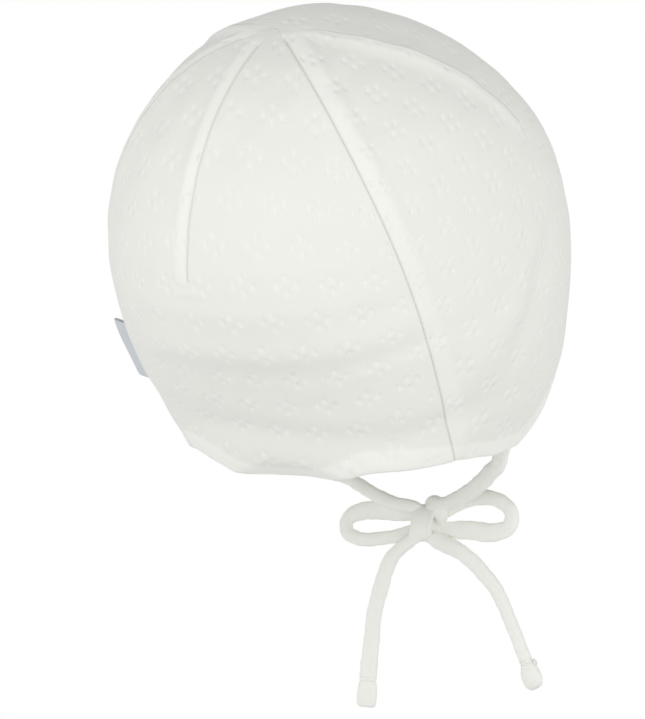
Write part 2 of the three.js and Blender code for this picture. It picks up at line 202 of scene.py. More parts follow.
@dataclass(frozen=True)
class HeadForm:
    """The form of the cloth over the head, by polar angle from the seam point and azimuth."""

    crown_radius: float = 77.7
    wall: float = 1.8
    back_tilt: float = 29.0
    side_lean: float = 3.0
    hem_flare: float = 0.6
    hem_band: float = 9.0
    corner: float = 94.0
    sections: tuple = (
        (-64, 92.5, 78.1, 110.5),
        (-52, 83.9, 71.7, 102.7),
        (-40, 78.6, 70.6, 95.6),
        (-25, 74.2, 74.2, 86.8),
        (-10, 71.3, 77.9, 81.8),
        (10, 71.1, 80.2, 79.8),
        (30, 73.1, 81.2, 79.8),
        (50, 74.3, 81.8, 77.4),
        (70, 76.3, 80.7, 76.2),
        (90, 77.7, 77.7, 77.7),
    )
    face_rim: tuple = (
        (-18, 107),
        (0, 104.5),
        (18, 107),
        (37, 112.5),
        (50, 121),
        (62, 131),
        (74, 138.5),
        (84, 142),
        (94, 143.5),
    )
    nape_rim: tuple = (
        (94, 143.5),
        (108, 139.5),
        (125, 131.5),
        (138, 128),
        (151, 127),
        (165, 130.6),
        (180, 131.8),
        (192, 129),
        (200, 126.3),
        (210, 124.6),
        (220, 126.6),
        (230, 131.8),
        (245, 141.5),
        (266, 149.5),
    )
    folds: tuple[Fold, ...] = (
        Fold(116, 216, (91, 91.5, 86), 5.5, 1.0),
        Fold(116, 212, (96, 96.5, 92), 5.0, -0.4),
        Fold(116, 214, (82, 79.5, 76), 4.5, 0.6),
        Fold(96, 214, (121, 119.5, 114), 5.5, -1.3),
        Fold(66, 108, (90, 104, 121), 7.0, -0.8),
        Fold(84, 120, (95, 106, 109), 7.0, 1.0),
        Fold(252, 294, (121, 104, 90), 6.0, -0.8),
    )
    small_folds: tuple[Fold, ...] = (
        Fold(120, 176, (74, 70.5, 67), 2.6, 0.22),
        Fold(116, 150, (99, 100, 101), 2.4, 0.25),
        Fold(150, 206, (104, 106, 103), 3.0, 0.2),
        Fold(104, 128, (128, 130, 133), 2.0, -0.3),
        Fold(62, 100, (84, 92, 99), 3.0, 0.3),
        Fold(179, 187, (71.9, 71.6, 72.1), 0.8, -0.4),
        Fold(177, 189, (73.5, 73.2, 73.7), 1.0, 0.4),
    )

    def axes(self) -> tuple[np.ndarray, np.ndarray, np.ndarray]:
        """Returns the unit vectors towards the face, the wearer's right and the seam point."""
        tilt, lean = math.radians(self.back_tilt), math.radians(self.side_lean)
        up = np.array(
            [-math.sin(lean), math.sin(tilt) * math.cos(lean), math.cos(tilt) * math.cos(lean)]
        )
        face = np.array([0.0, -math.cos(tilt), math.sin(tilt)])
        face = unit(face - up * float(face @ up))
        return face, np.cross(face, up), up

    def direction(self, azimuth: Any, polar: Any) -> np.ndarray:
        """Finds the way from the head's centre to a place on the cloth.

        Args:
            azimuth: Degrees round the head from the face.
            polar: Degrees from the seam point.

        Returns:
            Unit vectors.
        """
        a, p = np.radians(azimuth)[..., None], np.radians(polar)[..., None]
        face, right, up = self.axes()
        return np.sin(p) * np.cos(a) * face + np.sin(p) * np.sin(a) * right + np.cos(p) * up

    def smooth_radius(self, way: np.ndarray) -> np.ndarray:
        """Measures from the head's centre to the smooth cloth.

        Args:
            way: Unit vectors.

        Returns:
            Millimetres.
        """
        elevation = np.degrees(np.arcsin(np.clip(way[..., 2], -1, 1)))
        level = np.hypot(way[..., 0], way[..., 1]) + 1e-9
        side = curve_value(self.sections, 1, elevation)
        back = curve_value(self.sections, 2, elevation)
        front = curve_value(self.sections, 3, elevation)
        end = np.where(way[..., 1] > 0, back, front)
        return 1 / np.hypot(way[..., 0] / level / side, way[..., 1] / level / end)

    def rim_polar(self, azimuth: Any) -> np.ndarray:
        """Finds where the rim lies.

        Args:
            azimuth: Degrees round the head from the face.

        Returns:
            Degrees from the seam point.
        """
        turned = np.mod(azimuth, FULL_TURN)
        folded = np.where(turned > 180, FULL_TURN - turned, turned)
        levelled = np.where(turned > 180, 2 * self.side_lean * np.sin(np.radians(folded)), 0)
        face = curve_value(self.face_rim, 1, folded) + levelled
        on_nape = (turned >= self.corner) & (turned <= FULL_TURN - self.corner)
        return np.where(on_nape, curve_value(self.nape_rim, 1, turned), face)

    def from_line(
        self, line: Line, left: bool, azimuth: Any, polar: Any, radius: Any
    ) -> np.ndarray:
        """Measures how far a place lies from a line, positive on the side of higher azimuth.

        Args:
            line: Which line.
            left: True for the one on the wearer's left.
            azimuth: Degrees round the head.
            polar: Degrees from the seam point.
            radius: Millimetres from the head's centre.

        Returns:
            Millimetres over the cloth.
        """
        at = line_azimuth(line, polar)
        turn = np.mod(azimuth - (FULL_TURN - at if left else at) + 540, FULL_TURN) - 180
        return np.radians(turn) * radius * np.sin(np.radians(polar))

    def seam_shares(self, seam: Seam, azimuth: Any, polar: Any, radius: Any) -> tuple:
        """Measures one seam at each place.

        Args:
            seam: The seam.
            azimuth: Degrees round the head.
            polar: Degrees from the seam point.
            radius: Millimetres from the head's centre.

        Returns:
            Millimetres from the line, millimetres on the allowance's side, and how far it shows.
        """
        ends = LINES[seam.line].ends
        away = self.from_line(seam.line, seam.left, azimuth, polar, radius)
        shown = smooth_step(2, 9, polar)
        if ends < 100:
            shown = shown * (1 - smooth_step(ends - 1.5, ends + 0.5, polar))
        return away, seam.side * away, shown

    def seam_relief(self, azimuth: np.ndarray, polar: np.ndarray, radius: np.ndarray) -> np.ndarray:
        """Measures the ridges that stand up along the seams, and the allowances beside them.

        Args:
            azimuth: Degrees round the head.
            polar: Degrees from the seam point.
            radius: Millimetres from the head's centre.

        Returns:
            Millimetres.
        """
        ridge = np.zeros_like(polar)
        band = np.zeros_like(polar)
        groove = np.zeros_like(polar)
        fall = 1 - 0.6 * smooth_step(40, 95, polar)
        for seam in SEAMS:
            row = LINES[seam.line]
            away, inside, shown = self.seam_shares(seam, azimuth, polar, radius)
            fade = smooth_step(0, 34, polar) * (1 - smooth_step(row.ends * 0.45, row.ends, polar))
            ridge = np.maximum(ridge, row.ridge * fade * (np.exp(-np.abs(away) / 11) - 0.4))
            rise = smooth_step(-0.2, 0.75 * seam.width, inside)
            crest = rise * (1 - smooth_step(0.75 * seam.width, 1.6 * seam.width, inside))
            band = np.maximum(band, seam.height * fall * shown * crest)
            groove = np.maximum(groove, 0.3 * shown * np.exp(-((away / 0.45) ** 2)))
        return ridge + band - groove

    def seam_marks(self, azimuth: np.ndarray, polar: np.ndarray, radius: np.ndarray) -> np.ndarray:
        """Measures what the cloth's colour needs to know of the seams and the hem.

        Args:
            azimuth: Degrees round the head.
            polar: Degrees from the seam point.
            radius: Millimetres from the head's centre.

        Returns:
            Millimetres to the nearest sewn line, the allowance's share, and millimetres to the hem.
        """
        nearest = np.full_like(polar, 20.0)
        band = np.zeros_like(polar)
        fall = 1 - 0.6 * smooth_step(40, 95, polar)
        for seam in SEAMS:
            away, inside, shown = self.seam_shares(seam, azimuth, polar, radius)
            nearest = np.minimum(nearest, np.abs(away) + (1 - shown) * 9)
            edge = 1 - smooth_step(0.75 * seam.width, 1.2 * seam.width, inside)
            band = np.maximum(band, fall * shown * smooth_step(0.2, 1.2, inside) * edge)
        hem = np.radians(self.rim_polar(azimuth) - polar) * radius
        return np.stack([nearest, band, hem], -1)

    def relief(self, azimuth: np.ndarray, polar: np.ndarray, radius: np.ndarray) -> np.ndarray:
        """Measures everything that lifts or sinks the cloth from its smooth form.

        Args:
            azimuth: Degrees round the head.
            polar: Degrees from the seam point.
            radius: Millimetres from the head's centre.

        Returns:
            Millimetres.
        """
        turned = np.mod(azimuth, FULL_TURN)
        height = self.seam_relief(turned, polar, radius)
        for fold in (*self.folds, *self.small_folds):
            height = height + fold.relief(turned, polar, radius)
        to_rim = np.radians(self.rim_polar(turned) - polar) * radius
        left = FULL_TURN - turned
        on_nape = smooth_step(self.corner, self.corner + 16, turned) * smooth_step(
            self.corner, self.corner + 16, left
        )
        height = height + self.hem_flare * on_nape * (1 - smooth_step(0, self.hem_band, to_rim))
        height = height - 1.5 * (1 - smooth_step(0, 28, polar))
        return height + self.softness(turned, polar)

    def softness(self, azimuth: np.ndarray, polar: np.ndarray) -> np.ndarray:
        """Measures the slight waves of soft cloth.

        Args:
            azimuth: Degrees round the head.
            polar: Degrees from the seam point.

        Returns:
            Millimetres.
        """
        a, p = np.radians(azimuth), np.radians(polar)
        across, down = 9 * np.sin(p) * np.sin(a), 9 * p
        wave = np.sin(1.3 * across + 2.1 * down + 0.4) * np.sin(0.9 * down - 1.7 * across + 1.1)
        ripple = np.sin(3.1 * down + 1.2 * across) * np.sin(2.3 * across - 0.7 * down + 2)
        return (0.16 * wave + 0.07 * ripple) * smooth_step(8, 30, polar)

    def point(self, azimuth: Any, polar: Any, depth: Any) -> np.ndarray:
        """Finds a point of the cloth.

        Args:
            azimuth: Degrees round the head from the face.
            polar: Degrees from the seam point.
            depth: Millimetres inside the outer face.

        Returns:
            Points in millimetres, in the part's frame.
        """
        azimuth, polar = np.broadcast_arrays(np.asarray(azimuth, float), np.asarray(polar, float))
        way = self.direction(azimuth, polar)
        radius = self.smooth_radius(way)
        reach = radius + self.relief(azimuth, polar, radius) - depth
        return way * reach[..., None] + HEAD_CENTRE


class Shade:
    """A socket in a shader, with arithmetic that adds its Math nodes."""

    def __init__(self, book: "ShaderBook", socket: Any) -> None:
        """Wraps a socket of the book's tree."""
        self.book = book
        self.socket = socket

    def _maths(self, operation: str, *values: Any) -> "Shade":
        """Adds a Math node.

        Args:
            operation: The node's operation.
            *values: Its inputs, as numbers or wrapped sockets.

        Returns:
            Its output.
        """
        inputs = dict(enumerate(values))
        return self.book.add("ShaderNodeMath", {"operation": operation}, inputs).out()

    def __add__(self, other: Any) -> "Shade":
        """Adds."""
        return self._maths("ADD", self, other)

    def __radd__(self, other: Any) -> "Shade":
        """Adds, from the right."""
        return self._maths("ADD", other, self)

    def __sub__(self, other: Any) -> "Shade":
        """Subtracts."""
        return self._maths("SUBTRACT", self, other)

    def __rsub__(self, other: Any) -> "Shade":
        """Subtracts from a number."""
        return self._maths("SUBTRACT", other, self)

    def __mul__(self, other: Any) -> "Shade":
        """Multiplies."""
        return self._maths("MULTIPLY", self, other)

    def __rmul__(self, other: Any) -> "Shade":
        """Multiplies, from the right."""
        return self._maths("MULTIPLY", other, self)

    def __truediv__(self, other: Any) -> "Shade":
        """Divides."""
        return self._maths("DIVIDE", self, other)

    def __mod__(self, other: Any) -> "Shade":
        """Takes the remainder, never below zero."""
        return self._maths("FLOORED_MODULO", self, other)

    def __abs__(self) -> "Shade":
        """Takes the size without its sign."""
        return self._maths("ABSOLUTE", self)

    def sine(self) -> "Shade":
        """Takes the sine, of radians."""
        return self._maths("SINE", self)

    def most(self, other: Any) -> "Shade":
        """Takes the higher of two."""
        return self._maths("MAXIMUM", self, other)

    def bell(self, width: float) -> "Shade":
        """Falls from 1 at zero, as a bell of that half width.

        Args:
            width: Where it has fallen to about a third.

        Returns:
            The bell's value.
        """
        share = self / width
        return self._maths("EXPONENT", share * share * -1)

    def step(self, low: float, high: float) -> "Shade":
        """Rises smoothly from 0 at low to 1 at high.

        Args:
            low: Where it starts.
            high: Where it ends.

        Returns:
            The step's value.
        """
        settings = {"interpolation_type": "SMOOTHSTEP"}
        inputs = {"Value": self, "From Min": low, "From Max": high, "To Min": 0.0, "To Max": 1.0}
        return self.book.add("ShaderNodeMapRange", settings, inputs).out("Result")


class NodeHandle:
    """A node that was added to a shader."""

    def __init__(self, book: "ShaderBook", node: Any) -> None:
        """Keeps the node and the book that holds it."""
        self.book = book
        self.node = node

    def out(self, name: str | int = 0) -> Shade:
        """Returns one of the node's outputs."""
        return Shade(self.book, self.node.outputs[name])


class ShaderBook:
    """A node tree: a new material's, or the studio's."""

    def __init__(self, name: str, tree: Any = None) -> None:
        """Starts an empty tree in a new material of that name, or empties the given one."""
        self.material = None
        if tree is None:
            self.material = bpy.data.materials.new(name)
            self.material.use_nodes = True
            tree = self.material.node_tree
        self.tree = tree
        self.tree.nodes.clear()

    def add(
        self, kind: str, settings: dict | None = None, inputs: dict | None = None
    ) -> NodeHandle:
        """Adds a node.

        Args:
            kind: The node's type.
            settings: Its properties, set first. A ramp's stops are given as "stops".
            inputs: Values or wrapped sockets, by the input's name or number.

        Returns:
            The node's handle.
        """
        node = self.tree.nodes.new(kind)
        for key, value in (settings or {}).items():
            if key == "stops":
                self._set_stops(node.color_ramp, value)
            else:
                setattr(node, key, value)
        for key, value in (inputs or {}).items():
            if isinstance(value, Shade):
                self.tree.links.new(value.socket, node.inputs[key])
            else:
                node.inputs[key].default_value = value
        return NodeHandle(self, node)

    @staticmethod
    def _set_stops(ramp: Any, stops: list) -> None:
        """Gives a ramp its stops, as pairs of place and colour."""
        ramp.elements[0].position, ramp.elements[1].position = stops[0][0], stops[-1][0]
        for place, _ in stops[1:-1]:
            ramp.elements.new(place)
        for element, (_, colour) in zip(ramp.elements, stops):
            element.color = colour

    def mixed(self, share: Any, first: Any, second: Any) -> Shade:
        """Mixes two colours.

        Args:
            share: From 0 for the first to 1 for the second.
            first: A colour, or a wrapped socket.
            second: A colour, or a wrapped socket.

        Returns:
            The mixed colour.
        """
        settings = {"data_type": "RGBA"}
        node = self.add("ShaderNodeMix", settings, {0: share, 6: first, 7: second})
        return node.out(2)

    def attribute(self, name: str) -> tuple[Shade, Shade, Shade]:
        """Reads a named vector of the mesh.

        Args:
            name: The attribute's name.

        Returns:
            Its three numbers.
        """
        settings = {"attribute_type": "GEOMETRY", "attribute_name": name}
        read = self.add("ShaderNodeAttribute", settings)
        parts = self.add("ShaderNodeSeparateXYZ", None, {0: read.out("Vector")})
        return parts.out(0), parts.out(1), parts.out(2)

    def noise(self, vector: Shade, scale: float, detail: float) -> Shade:
        """Adds a soft noise over a vector.

        Args:
            vector: Where it is read.
            scale: How fine it is.
            detail: How many finer layers it has.

        Returns:
            A value about 0.5.
        """
        inputs = {"Vector": vector, "Scale": scale, "Detail": detail, "Roughness": 0.55}
        return self.add("ShaderNodeTexNoise", {"noise_dimensions": "3D"}, inputs).out(0)

    def place(self) -> Shade:
        """Reads the mesh's own coordinates."""
        return self.add("ShaderNodeTexCoord").out("Object")

    def finish(self, surface: dict) -> Any:
        """Adds the surface and the output.

        Args:
            surface: The surface's inputs by name.

        Returns:
            The finished material.
        """
        body = self.add("ShaderNodeBsdfPrincipled", None, surface)
        self.add("ShaderNodeOutputMaterial", None, {"Surface": body.out()})
        return self.material


@dataclass(frozen=True)
class JerseyFinish:
    """White jersey with small raised tufts in fours, knitted in ribs too fine to count."""

    name: str
    tufts: bool = True
    colour: tuple = (0.865, 0.873, 0.820, 1.0)
    shadow_colour: tuple = (0.760, 0.750, 0.630, 1.0)
    # Pale tone for the random blotches, and also the painted highlight that lightens each raised
    # tuft.
    pale_tone_and_tuft_highlight_colour: tuple = (0.950, 0.950, 0.905, 1.0)
    doubled_colour: tuple = (0.955, 0.955, 0.910, 1.0)
    knit_rise: float = 0.03
    fuzz_rise: float = 0.05
    course: float = 13.0
    drop: float = 12.3
    rib: float = 1.05
    stitch: float = 0.95

    def tuft_height(self, u: Shade, v: Shade) -> Shade:
        """Charts the tufts: four in a diamond, in rows that are each half a repeat along.

        Args:
            u: Millimetres along the course.
            v: Millimetres down the rib.

        Returns:
            From 0 to 1 at the top of a tuft.
        """
        height = None
        for shift_u, shift_v in ((0.0, 0.0), (self.course / 2, self.drop)):
            x = (u + shift_u) % self.course - self.course / 2
            y = (v + shift_v) % (2 * self.drop) - self.drop
            for at_u, at_v in ((2.9, 0.0), (0.0, 2.4)):
                side = (abs(x) - at_u).bell(0.95)
                end = (abs(y) - at_v).bell(1.45)
                tuft = side * end
                height = tuft if height is None else height.most(tuft)
        return height

    def knit_height(self, u: Shade, v: Shade) -> Shade:
        """Charts the fine stitches: slanted legs on either side of each rib.

        Args:
            u: Millimetres along the course.
            v: Millimetres down the rib.

        Returns:
            From 0 to 1 at the top of a stitch.
        """
        from_rib = abs(u % self.rib - self.rib / 2)
        legs = (v + from_rib * 1.1) * (2 * math.pi / self.stitch)
        rise = 1 - (from_rib - self.rib / 4).bell(self.rib / 4)
        return (legs.sine() * 0.35 + 0.65) * (1 - rise * 0.8)

    def make(self) -> Any:
        """Builds the material.

        Returns:
            The material.
        """
        book = ShaderBook(self.name)
        u, v, _ = book.attribute("cloth")
        nearest, doubled, hem = book.attribute("seams")
        place = book.place()
        blotch = book.noise(place, 38.0, 3.0)
        fuzz = book.noise(place, 1400.0, 2.0)
        line = nearest.bell(0.34)
        height = self.knit_height(u, v) * self.knit_rise + fuzz * self.fuzz_rise - line * 0.2
        colour = book.mixed(blotch * 0.35, self.colour, self.pale_tone_and_tuft_highlight_colour)
        if self.tufts:
            layers = doubled.most(1 - hem.step(5.6, 7.4)) * 0.9
            colour = book.mixed(layers, colour, self.doubled_colour)
            unevenness = book.noise(place, 300.0, 1.0) * 1.6 + 0.1
            tuft = self.tuft_height(u, v) * nearest.step(0.8, 1.8) * unevenness
            height = height + tuft * 0.34 + blotch * 0.25
            # Painted highlight: each raised tuft is painted lighter, as if it caught the light.
            colour = book.mixed(tuft * 0.8, colour, self.pale_tone_and_tuft_highlight_colour)
        colour = book.mixed(line * 0.6, colour, self.shadow_colour)
        bump = book.add(
            "ShaderNodeBump", None, {"Strength": 1.0, "Distance": MM, "Height": height}
        )
        return book.finish(
            {
                "Base Color": colour,
                "Roughness": 0.93,
                "Sheen Weight": 0.18,
                "Sheen Roughness": 0.45,
                "Normal": bump.out(),
            }
        )


@dataclass(frozen=True)
class TapeFinish:
    """A smooth woven tape with fine cross ribs, left bare."""

    name: str
    colour: tuple = (0.78, 0.82, 0.86, 1.0)
    weft_colour: tuple = (0.70, 0.75, 0.80, 1.0)
    rib: float = 0.45

    def make(self) -> Any:
        """Builds the material.

        Returns:
            The material.
        """
        book = ShaderBook(self.name)
        u, v, _ = book.attribute("cloth")
        over = (u * (2 * math.pi / self.rib)).sine() * (v * (math.pi / self.rib)).sine()
        height = abs(over) * 0.09
        grain = book.noise(book.place(), 900.0, 2.0)
        colour = book.mixed(abs(over) * 0.5 + grain * 0.2, self.weft_colour, self.colour)
        bump = book.add(
            "ShaderNodeBump", None, {"Strength": 1.0, "Distance": MM, "Height": height}
        )
        return book.finish(
            {
                "Base Color": colour,
                "Roughness": 0.6,
                "Sheen Weight": 0.1,
                "Normal": bump.out(),
            }
        )


@dataclass(frozen=True)
class ThreadFinish:
    """Sewing thread, twisted from two strands."""

    name: str
    colour: tuple = (0.86, 0.86, 0.80, 1.0)

    def make(self) -> Any:
        """Builds the material.

        Returns:
            The material.
        """
        book = ShaderBook(self.name)
        place = book.place()
        ply = book.noise(place, 2600.0, 1.0)
        colour = book.mixed(ply * 0.4, self.colour, (0.78, 0.77, 0.70, 1.0))
        bump = book.add(
            "ShaderNodeBump", None, {"Strength": 0.8, "Distance": MM, "Height": ply * 0.08}
        )
        return book.finish({"Base Color": colour, "Roughness": 0.65, "Normal": bump.out()})


@dataclass(frozen=True)
class FloorFinish:
    """A plain pale floor."""

    name: str
    colour: tuple = (0.86, 0.86, 0.86, 1.0)

    def make(self) -> Any:
        """Builds the material.

        Returns:
            The material.
        """
        book = ShaderBook(self.name)
        grain = book.noise(book.place(), 60.0, 3.0)
        colour = book.mixed(grain * 0.2, self.colour, (0.89, 0.89, 0.89, 1.0))
        return book.finish({"Base Color": colour, "Roughness": 0.8})


def strip_faces(number: np.ndarray, after: np.ndarray) -> list:
    """Joins each row of points to the next row, as four-sided faces.

    Args:
        number: The points' numbers, row by row.
        after: The number that follows each along its row.

    Returns:
        The faces.
    """
    return np.stack([number[:-1], number[1:], after[1:], after[:-1]], -1).reshape(-1, 4).tolist()


def mesh_piece(name: str, points: np.ndarray, faces: list, vectors: dict, finish: Any) -> Any:
    """Makes a smooth mesh that rides on the bonnet.

    Args:
        name: The piece's name.
        points: Points in millimetres.
        faces: Tuples of point numbers.
        vectors: Named vectors of the mesh, a row for each point.
        finish: Its material.

    Returns:
        The new object.
    """
    mesh = bpy.data.meshes.new(name)
    mesh.from_pydata((points * MM).tolist(), [], faces)
    mesh.validate()
    for key, rows in vectors.items():
        layer = mesh.attributes.new(key, "FLOAT_VECTOR", "POINT")
        layer.data.foreach_set("vector", np.ascontiguousarray(rows, np.float32).ravel())
    mesh.shade_smooth()
    mesh.materials.append(finish)
    piece = bpy.data.objects.new(name, mesh)
    bpy.context.scene.collection.objects.link(piece)
    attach(piece, "root")
    LOG.info("%s: %d faces", name, len(mesh.polygons))
    return piece


@dataclass(frozen=True)
class Chart:
    """How the knit lies over the head, in millimetres for two angles: level, slopes and bends."""

    level: float
    along: float
    down: float
    along_bend: float
    twist: float
    down_bend: float

    def read(self, along: np.ndarray, down: np.ndarray) -> np.ndarray:
        """Reads the chart.

        Args:
            along: Radians along the course.
            down: Radians down the rib.

        Returns:
            Millimetres.
        """
        slopes = self.level + self.along * along + self.down * down
        bends = self.along_bend * along**2 + self.twist * along * down + self.down_bend * down**2
        return slopes + bends


BACK_COURSE = Chart(-21.8, 68.8, -7.2, 1.2, -2.9, 10.7)
BACK_RIB = Chart(24.8, -1.4, 72.3, -2.1, -13.3, 4.6)
FRONT_COURSE = Chart(23.2, 62.9, 42.6, -0.5, 0.1, -3.6)
FRONT_RIB = Chart(-49.7, -38.7, 45.5, 19.8, 7.6, 7.4)


class Panel:
    """A sewn panel of cloth: its outer face, its rounded hem, its inner face and its sewn edges."""

    def __init__(self, form: HeadForm, name: str, lines: list, steps: list, tip: float) -> None:
        """Keeps the panel's lines.

        Args:
            form: The form of the cloth over the head.
            name: The CAD node that the panel stands for.
            lines: The lines that bound and divide it: the line, if it is on the left, and a turn.
            steps: Columns between each two lines.
            tip: The azimuth of its tip at the seam point.
        """
        self.form = form
        self.name = name
        self.lines = lines
        self.steps = steps
        self.tip = tip
        self.rows = 172
        self.gap = 0.05
        self.cluster = 0.62

    def line_at(self, index: int, polar: np.ndarray) -> np.ndarray:
        """Finds the azimuth of one of the panel's lines.

        Args:
            index: Which of the panel's lines.
            polar: Degrees from the seam point.

        Returns:
            Degrees round the head.
        """
        line, left, turn = self.lines[index]
        at = line_azimuth(line, polar)
        return (FULL_TURN - at if left else at) + turn

    def column_azimuth(self, column: float, polar: np.ndarray) -> np.ndarray:
        """Finds the azimuth of a column, counted through the panel's lines.

        Args:
            column: The line's number and the share of the way to the next.
            polar: Degrees from the seam point.

        Returns:
            Degrees round the head.
        """
        index = min(int(column), len(self.lines) - 2)
        even = column - index
        t = even - self.cluster * math.sin(2 * math.pi * even) / (2 * math.pi)
        return self.line_at(index, polar) * (1 - t) + self.line_at(index + 1, polar) * t

    def columns(self) -> list[float]:
        """Lists the panel's columns.

        Returns:
            Each column's line number and share.
        """
        found = [0.0]
        for index, steps in enumerate(self.steps):
            found += [index + step / steps for step in range(1, steps + 1)]
        return found

    def grid(self) -> tuple[np.ndarray, np.ndarray]:
        """Lays out the rows and columns of the cloth.

        Returns:
            Azimuth and polar angle, by row and column.
        """
        columns = self.columns()
        lip = math.degrees(0.5 * self.form.wall / self.form.crown_radius)
        azimuths, polars = [], []
        share = np.linspace(0, 1, self.rows + 1)[1:]
        share = 0.9 * share + 0.1 * np.sin(share * math.pi / 2)
        for i, column in enumerate(columns):
            rim = 135.0
            for _ in range(30):
                rim = (rim + float(self.form.rim_polar(self.column_azimuth(column, rim)))) / 2
            polar = (rim - lip) * share
            azimuth = self.column_azimuth(column, polar)
            edge = (i == 0) - (i == len(columns) - 1)
            way = np.sign(self.column_azimuth(1, 90.0) - self.column_azimuth(0, 90.0))
            inset = self.gap / 2 / (self.form.crown_radius * np.sin(np.radians(polar)))
            azimuths.append(azimuth + edge * way * np.degrees(inset))
            polars.append(polar)
        return np.array(azimuths).T, np.array(polars).T

    def cloth_place(self, azimuth: np.ndarray, polar: np.ndarray) -> np.ndarray:
        """Finds where each point lay on the knitted cloth before it was sewn.

        Args:
            azimuth: Degrees round the head.
            polar: Degrees from the seam point.

        Returns:
            Millimetres along the course and down the rib.
        """
        raise NotImplementedError

    @staticmethod
    def charted(along: np.ndarray, down: np.ndarray, course: "Chart", rib: "Chart") -> np.ndarray:
        """Reads the knit's two charts.

        Args:
            along: Radians along the course.
            down: Radians down the rib.
            course: The chart for the place along the course.
            rib: The chart for the place down the rib.

        Returns:
            Millimetres along the course and down the rib, and zero.
        """
        u, v = course.read(along, down), rib.read(along, down)
        return np.stack([u, v, np.zeros_like(u)], -1)

    def build(self, finish: Any) -> Any:
        """Builds the panel.

        Args:
            finish: Its material.

        Returns:
            The panel's object.
        """
        form = self.form
        azimuth, polar = self.grid()
        rows, columns = azimuth.shape
        layers, attributes = [], {"cloth": [], "seams": []}

        def lay(a: np.ndarray, p: np.ndarray, depth: float) -> None:
            """Adds points and their vectors."""
            way = form.direction(a, p)
            radius = form.smooth_radius(way)
            layers.append(form.point(a, p, depth).reshape(-1, 3))
            attributes["cloth"].append(self.cloth_place(a, p).reshape(-1, 3))
            attributes["seams"].append(form.seam_marks(a, p, radius).reshape(-1, 3))

        tip_azimuth, tip_polar = np.array([self.tip]), np.array([0.12])
        lay(tip_azimuth, tip_polar, 0.0)
        lay(azimuth, polar, 0.0)
        lip = math.degrees(0.5 * form.wall / form.crown_radius)
        bends = 4
        for bend in range(1, bends):
            angle = math.pi * bend / bends
            depth = form.wall / 2 * (1 - math.cos(angle))
            lay(azimuth[-1:], polar[-1:] + lip * math.sin(angle), depth)
        lay(azimuth[::-1], polar[::-1], form.wall)
        lay(tip_azimuth, tip_polar, form.wall)
        points = np.concatenate(layers)
        rings = 2 * rows + bends - 1
        number = 1 + np.arange(rings * columns).reshape(rings, columns)
        last = 1 + rings * columns
        quads = np.stack(
            [number[:-1, :-1], number[1:, :-1], number[1:, 1:], number[:-1, 1:]], -1
        ).reshape(-1, 4)
        faces = quads.tolist()
        for i in range(columns - 1):
            faces.append([0, int(number[0, i]), int(number[0, i + 1])])
            faces.append([last, int(number[-1, i + 1]), int(number[-1, i])])
        for column, turned in ((0, True), (columns - 1, False)):
            side = [[0, int(number[0, column]), int(number[-1, column]), last]]
            for row in range(rows - 1):
                near = number[row : row + 2, column]
                far = number[rings - 2 - row : rings - row, column]
                side.append([int(near[0]), int(near[1]), int(far[0]), int(far[1])])
            side.append([int(n) for n in number[rows - 1 : rows + bends, column]])
            faces += [face[::-1] for face in side] if turned else side
        vectors = {key: np.concatenate(value) for key, value in attributes.items()}
        piece = mesh_piece(self.name + "_cloth", points, faces, vectors, finish)
        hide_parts(self.name)
        return piece


class BackPanel(Panel):
    """The panel behind the head, with a dart down its middle."""

    def __init__(self, form: HeadForm) -> None:
        """Sets the panel's lines."""
        lines = [
            (Line.SIDE_SEAM, False, 0.0),
            (Line.BACK_DART, False, 0.0),
            (Line.LEFT_SIDE_SEAM, True, 0.0),
        ]
        super().__init__(form, "back_panel", lines, [76, 76], 180.0)

    def cloth_place(self, azimuth: np.ndarray, polar: np.ndarray) -> np.ndarray:
        """Finds where each point lay on the cloth: courses sag across the back, ribs lean a little.

        Args:
            azimuth: Degrees round the head.
            polar: Degrees from the seam point.

        Returns:
            Millimetres along the course and down the rib.
        """
        way = self.form.direction(azimuth, polar)
        across = np.arcsin(np.clip(-way[..., 0], -1, 1))
        down = np.arctan2(-way[..., 2], way[..., 1])
        return self.charted(across, down, BACK_COURSE, BACK_RIB)


class FrontPanel(Panel):
    """The panel over the brow, crown sides and ears, with a dart on each side."""

    def __init__(self, form: HeadForm) -> None:
        """Sets the panel's lines."""
        lines = [
            (Line.LEFT_SIDE_SEAM, True, -FULL_TURN),
            (Line.FLAP_LINE, True, -FULL_TURN),
            (Line.FRONT_DART, True, -FULL_TURN),
            (Line.CENTRE_FRONT, False, 0.0),
            (Line.FRONT_DART, False, 0.0),
            (Line.FLAP_LINE, False, 0.0),
            (Line.SIDE_SEAM, False, 0.0),
        ]
        super().__init__(form, "front_panel", lines, [36, 36, 50, 50, 36, 36], 0.0)

    def cloth_place(self, azimuth: np.ndarray, polar: np.ndarray) -> np.ndarray:
        """Finds where each point lay on the cloth: courses fall towards the brow.

        Args:
            azimuth: Degrees round the head.
            polar: Degrees from the seam point.

        Returns:
            Millimetres along the course and down the rib.
        """
        way = self.form.direction(azimuth, polar)
        forward = np.arcsin(np.clip(-way[..., 1], -1, 1))
        down = np.arctan2(np.abs(way[..., 0]), way[..., 2])
        return self.charted(forward, down, FRONT_COURSE, FRONT_RIB)


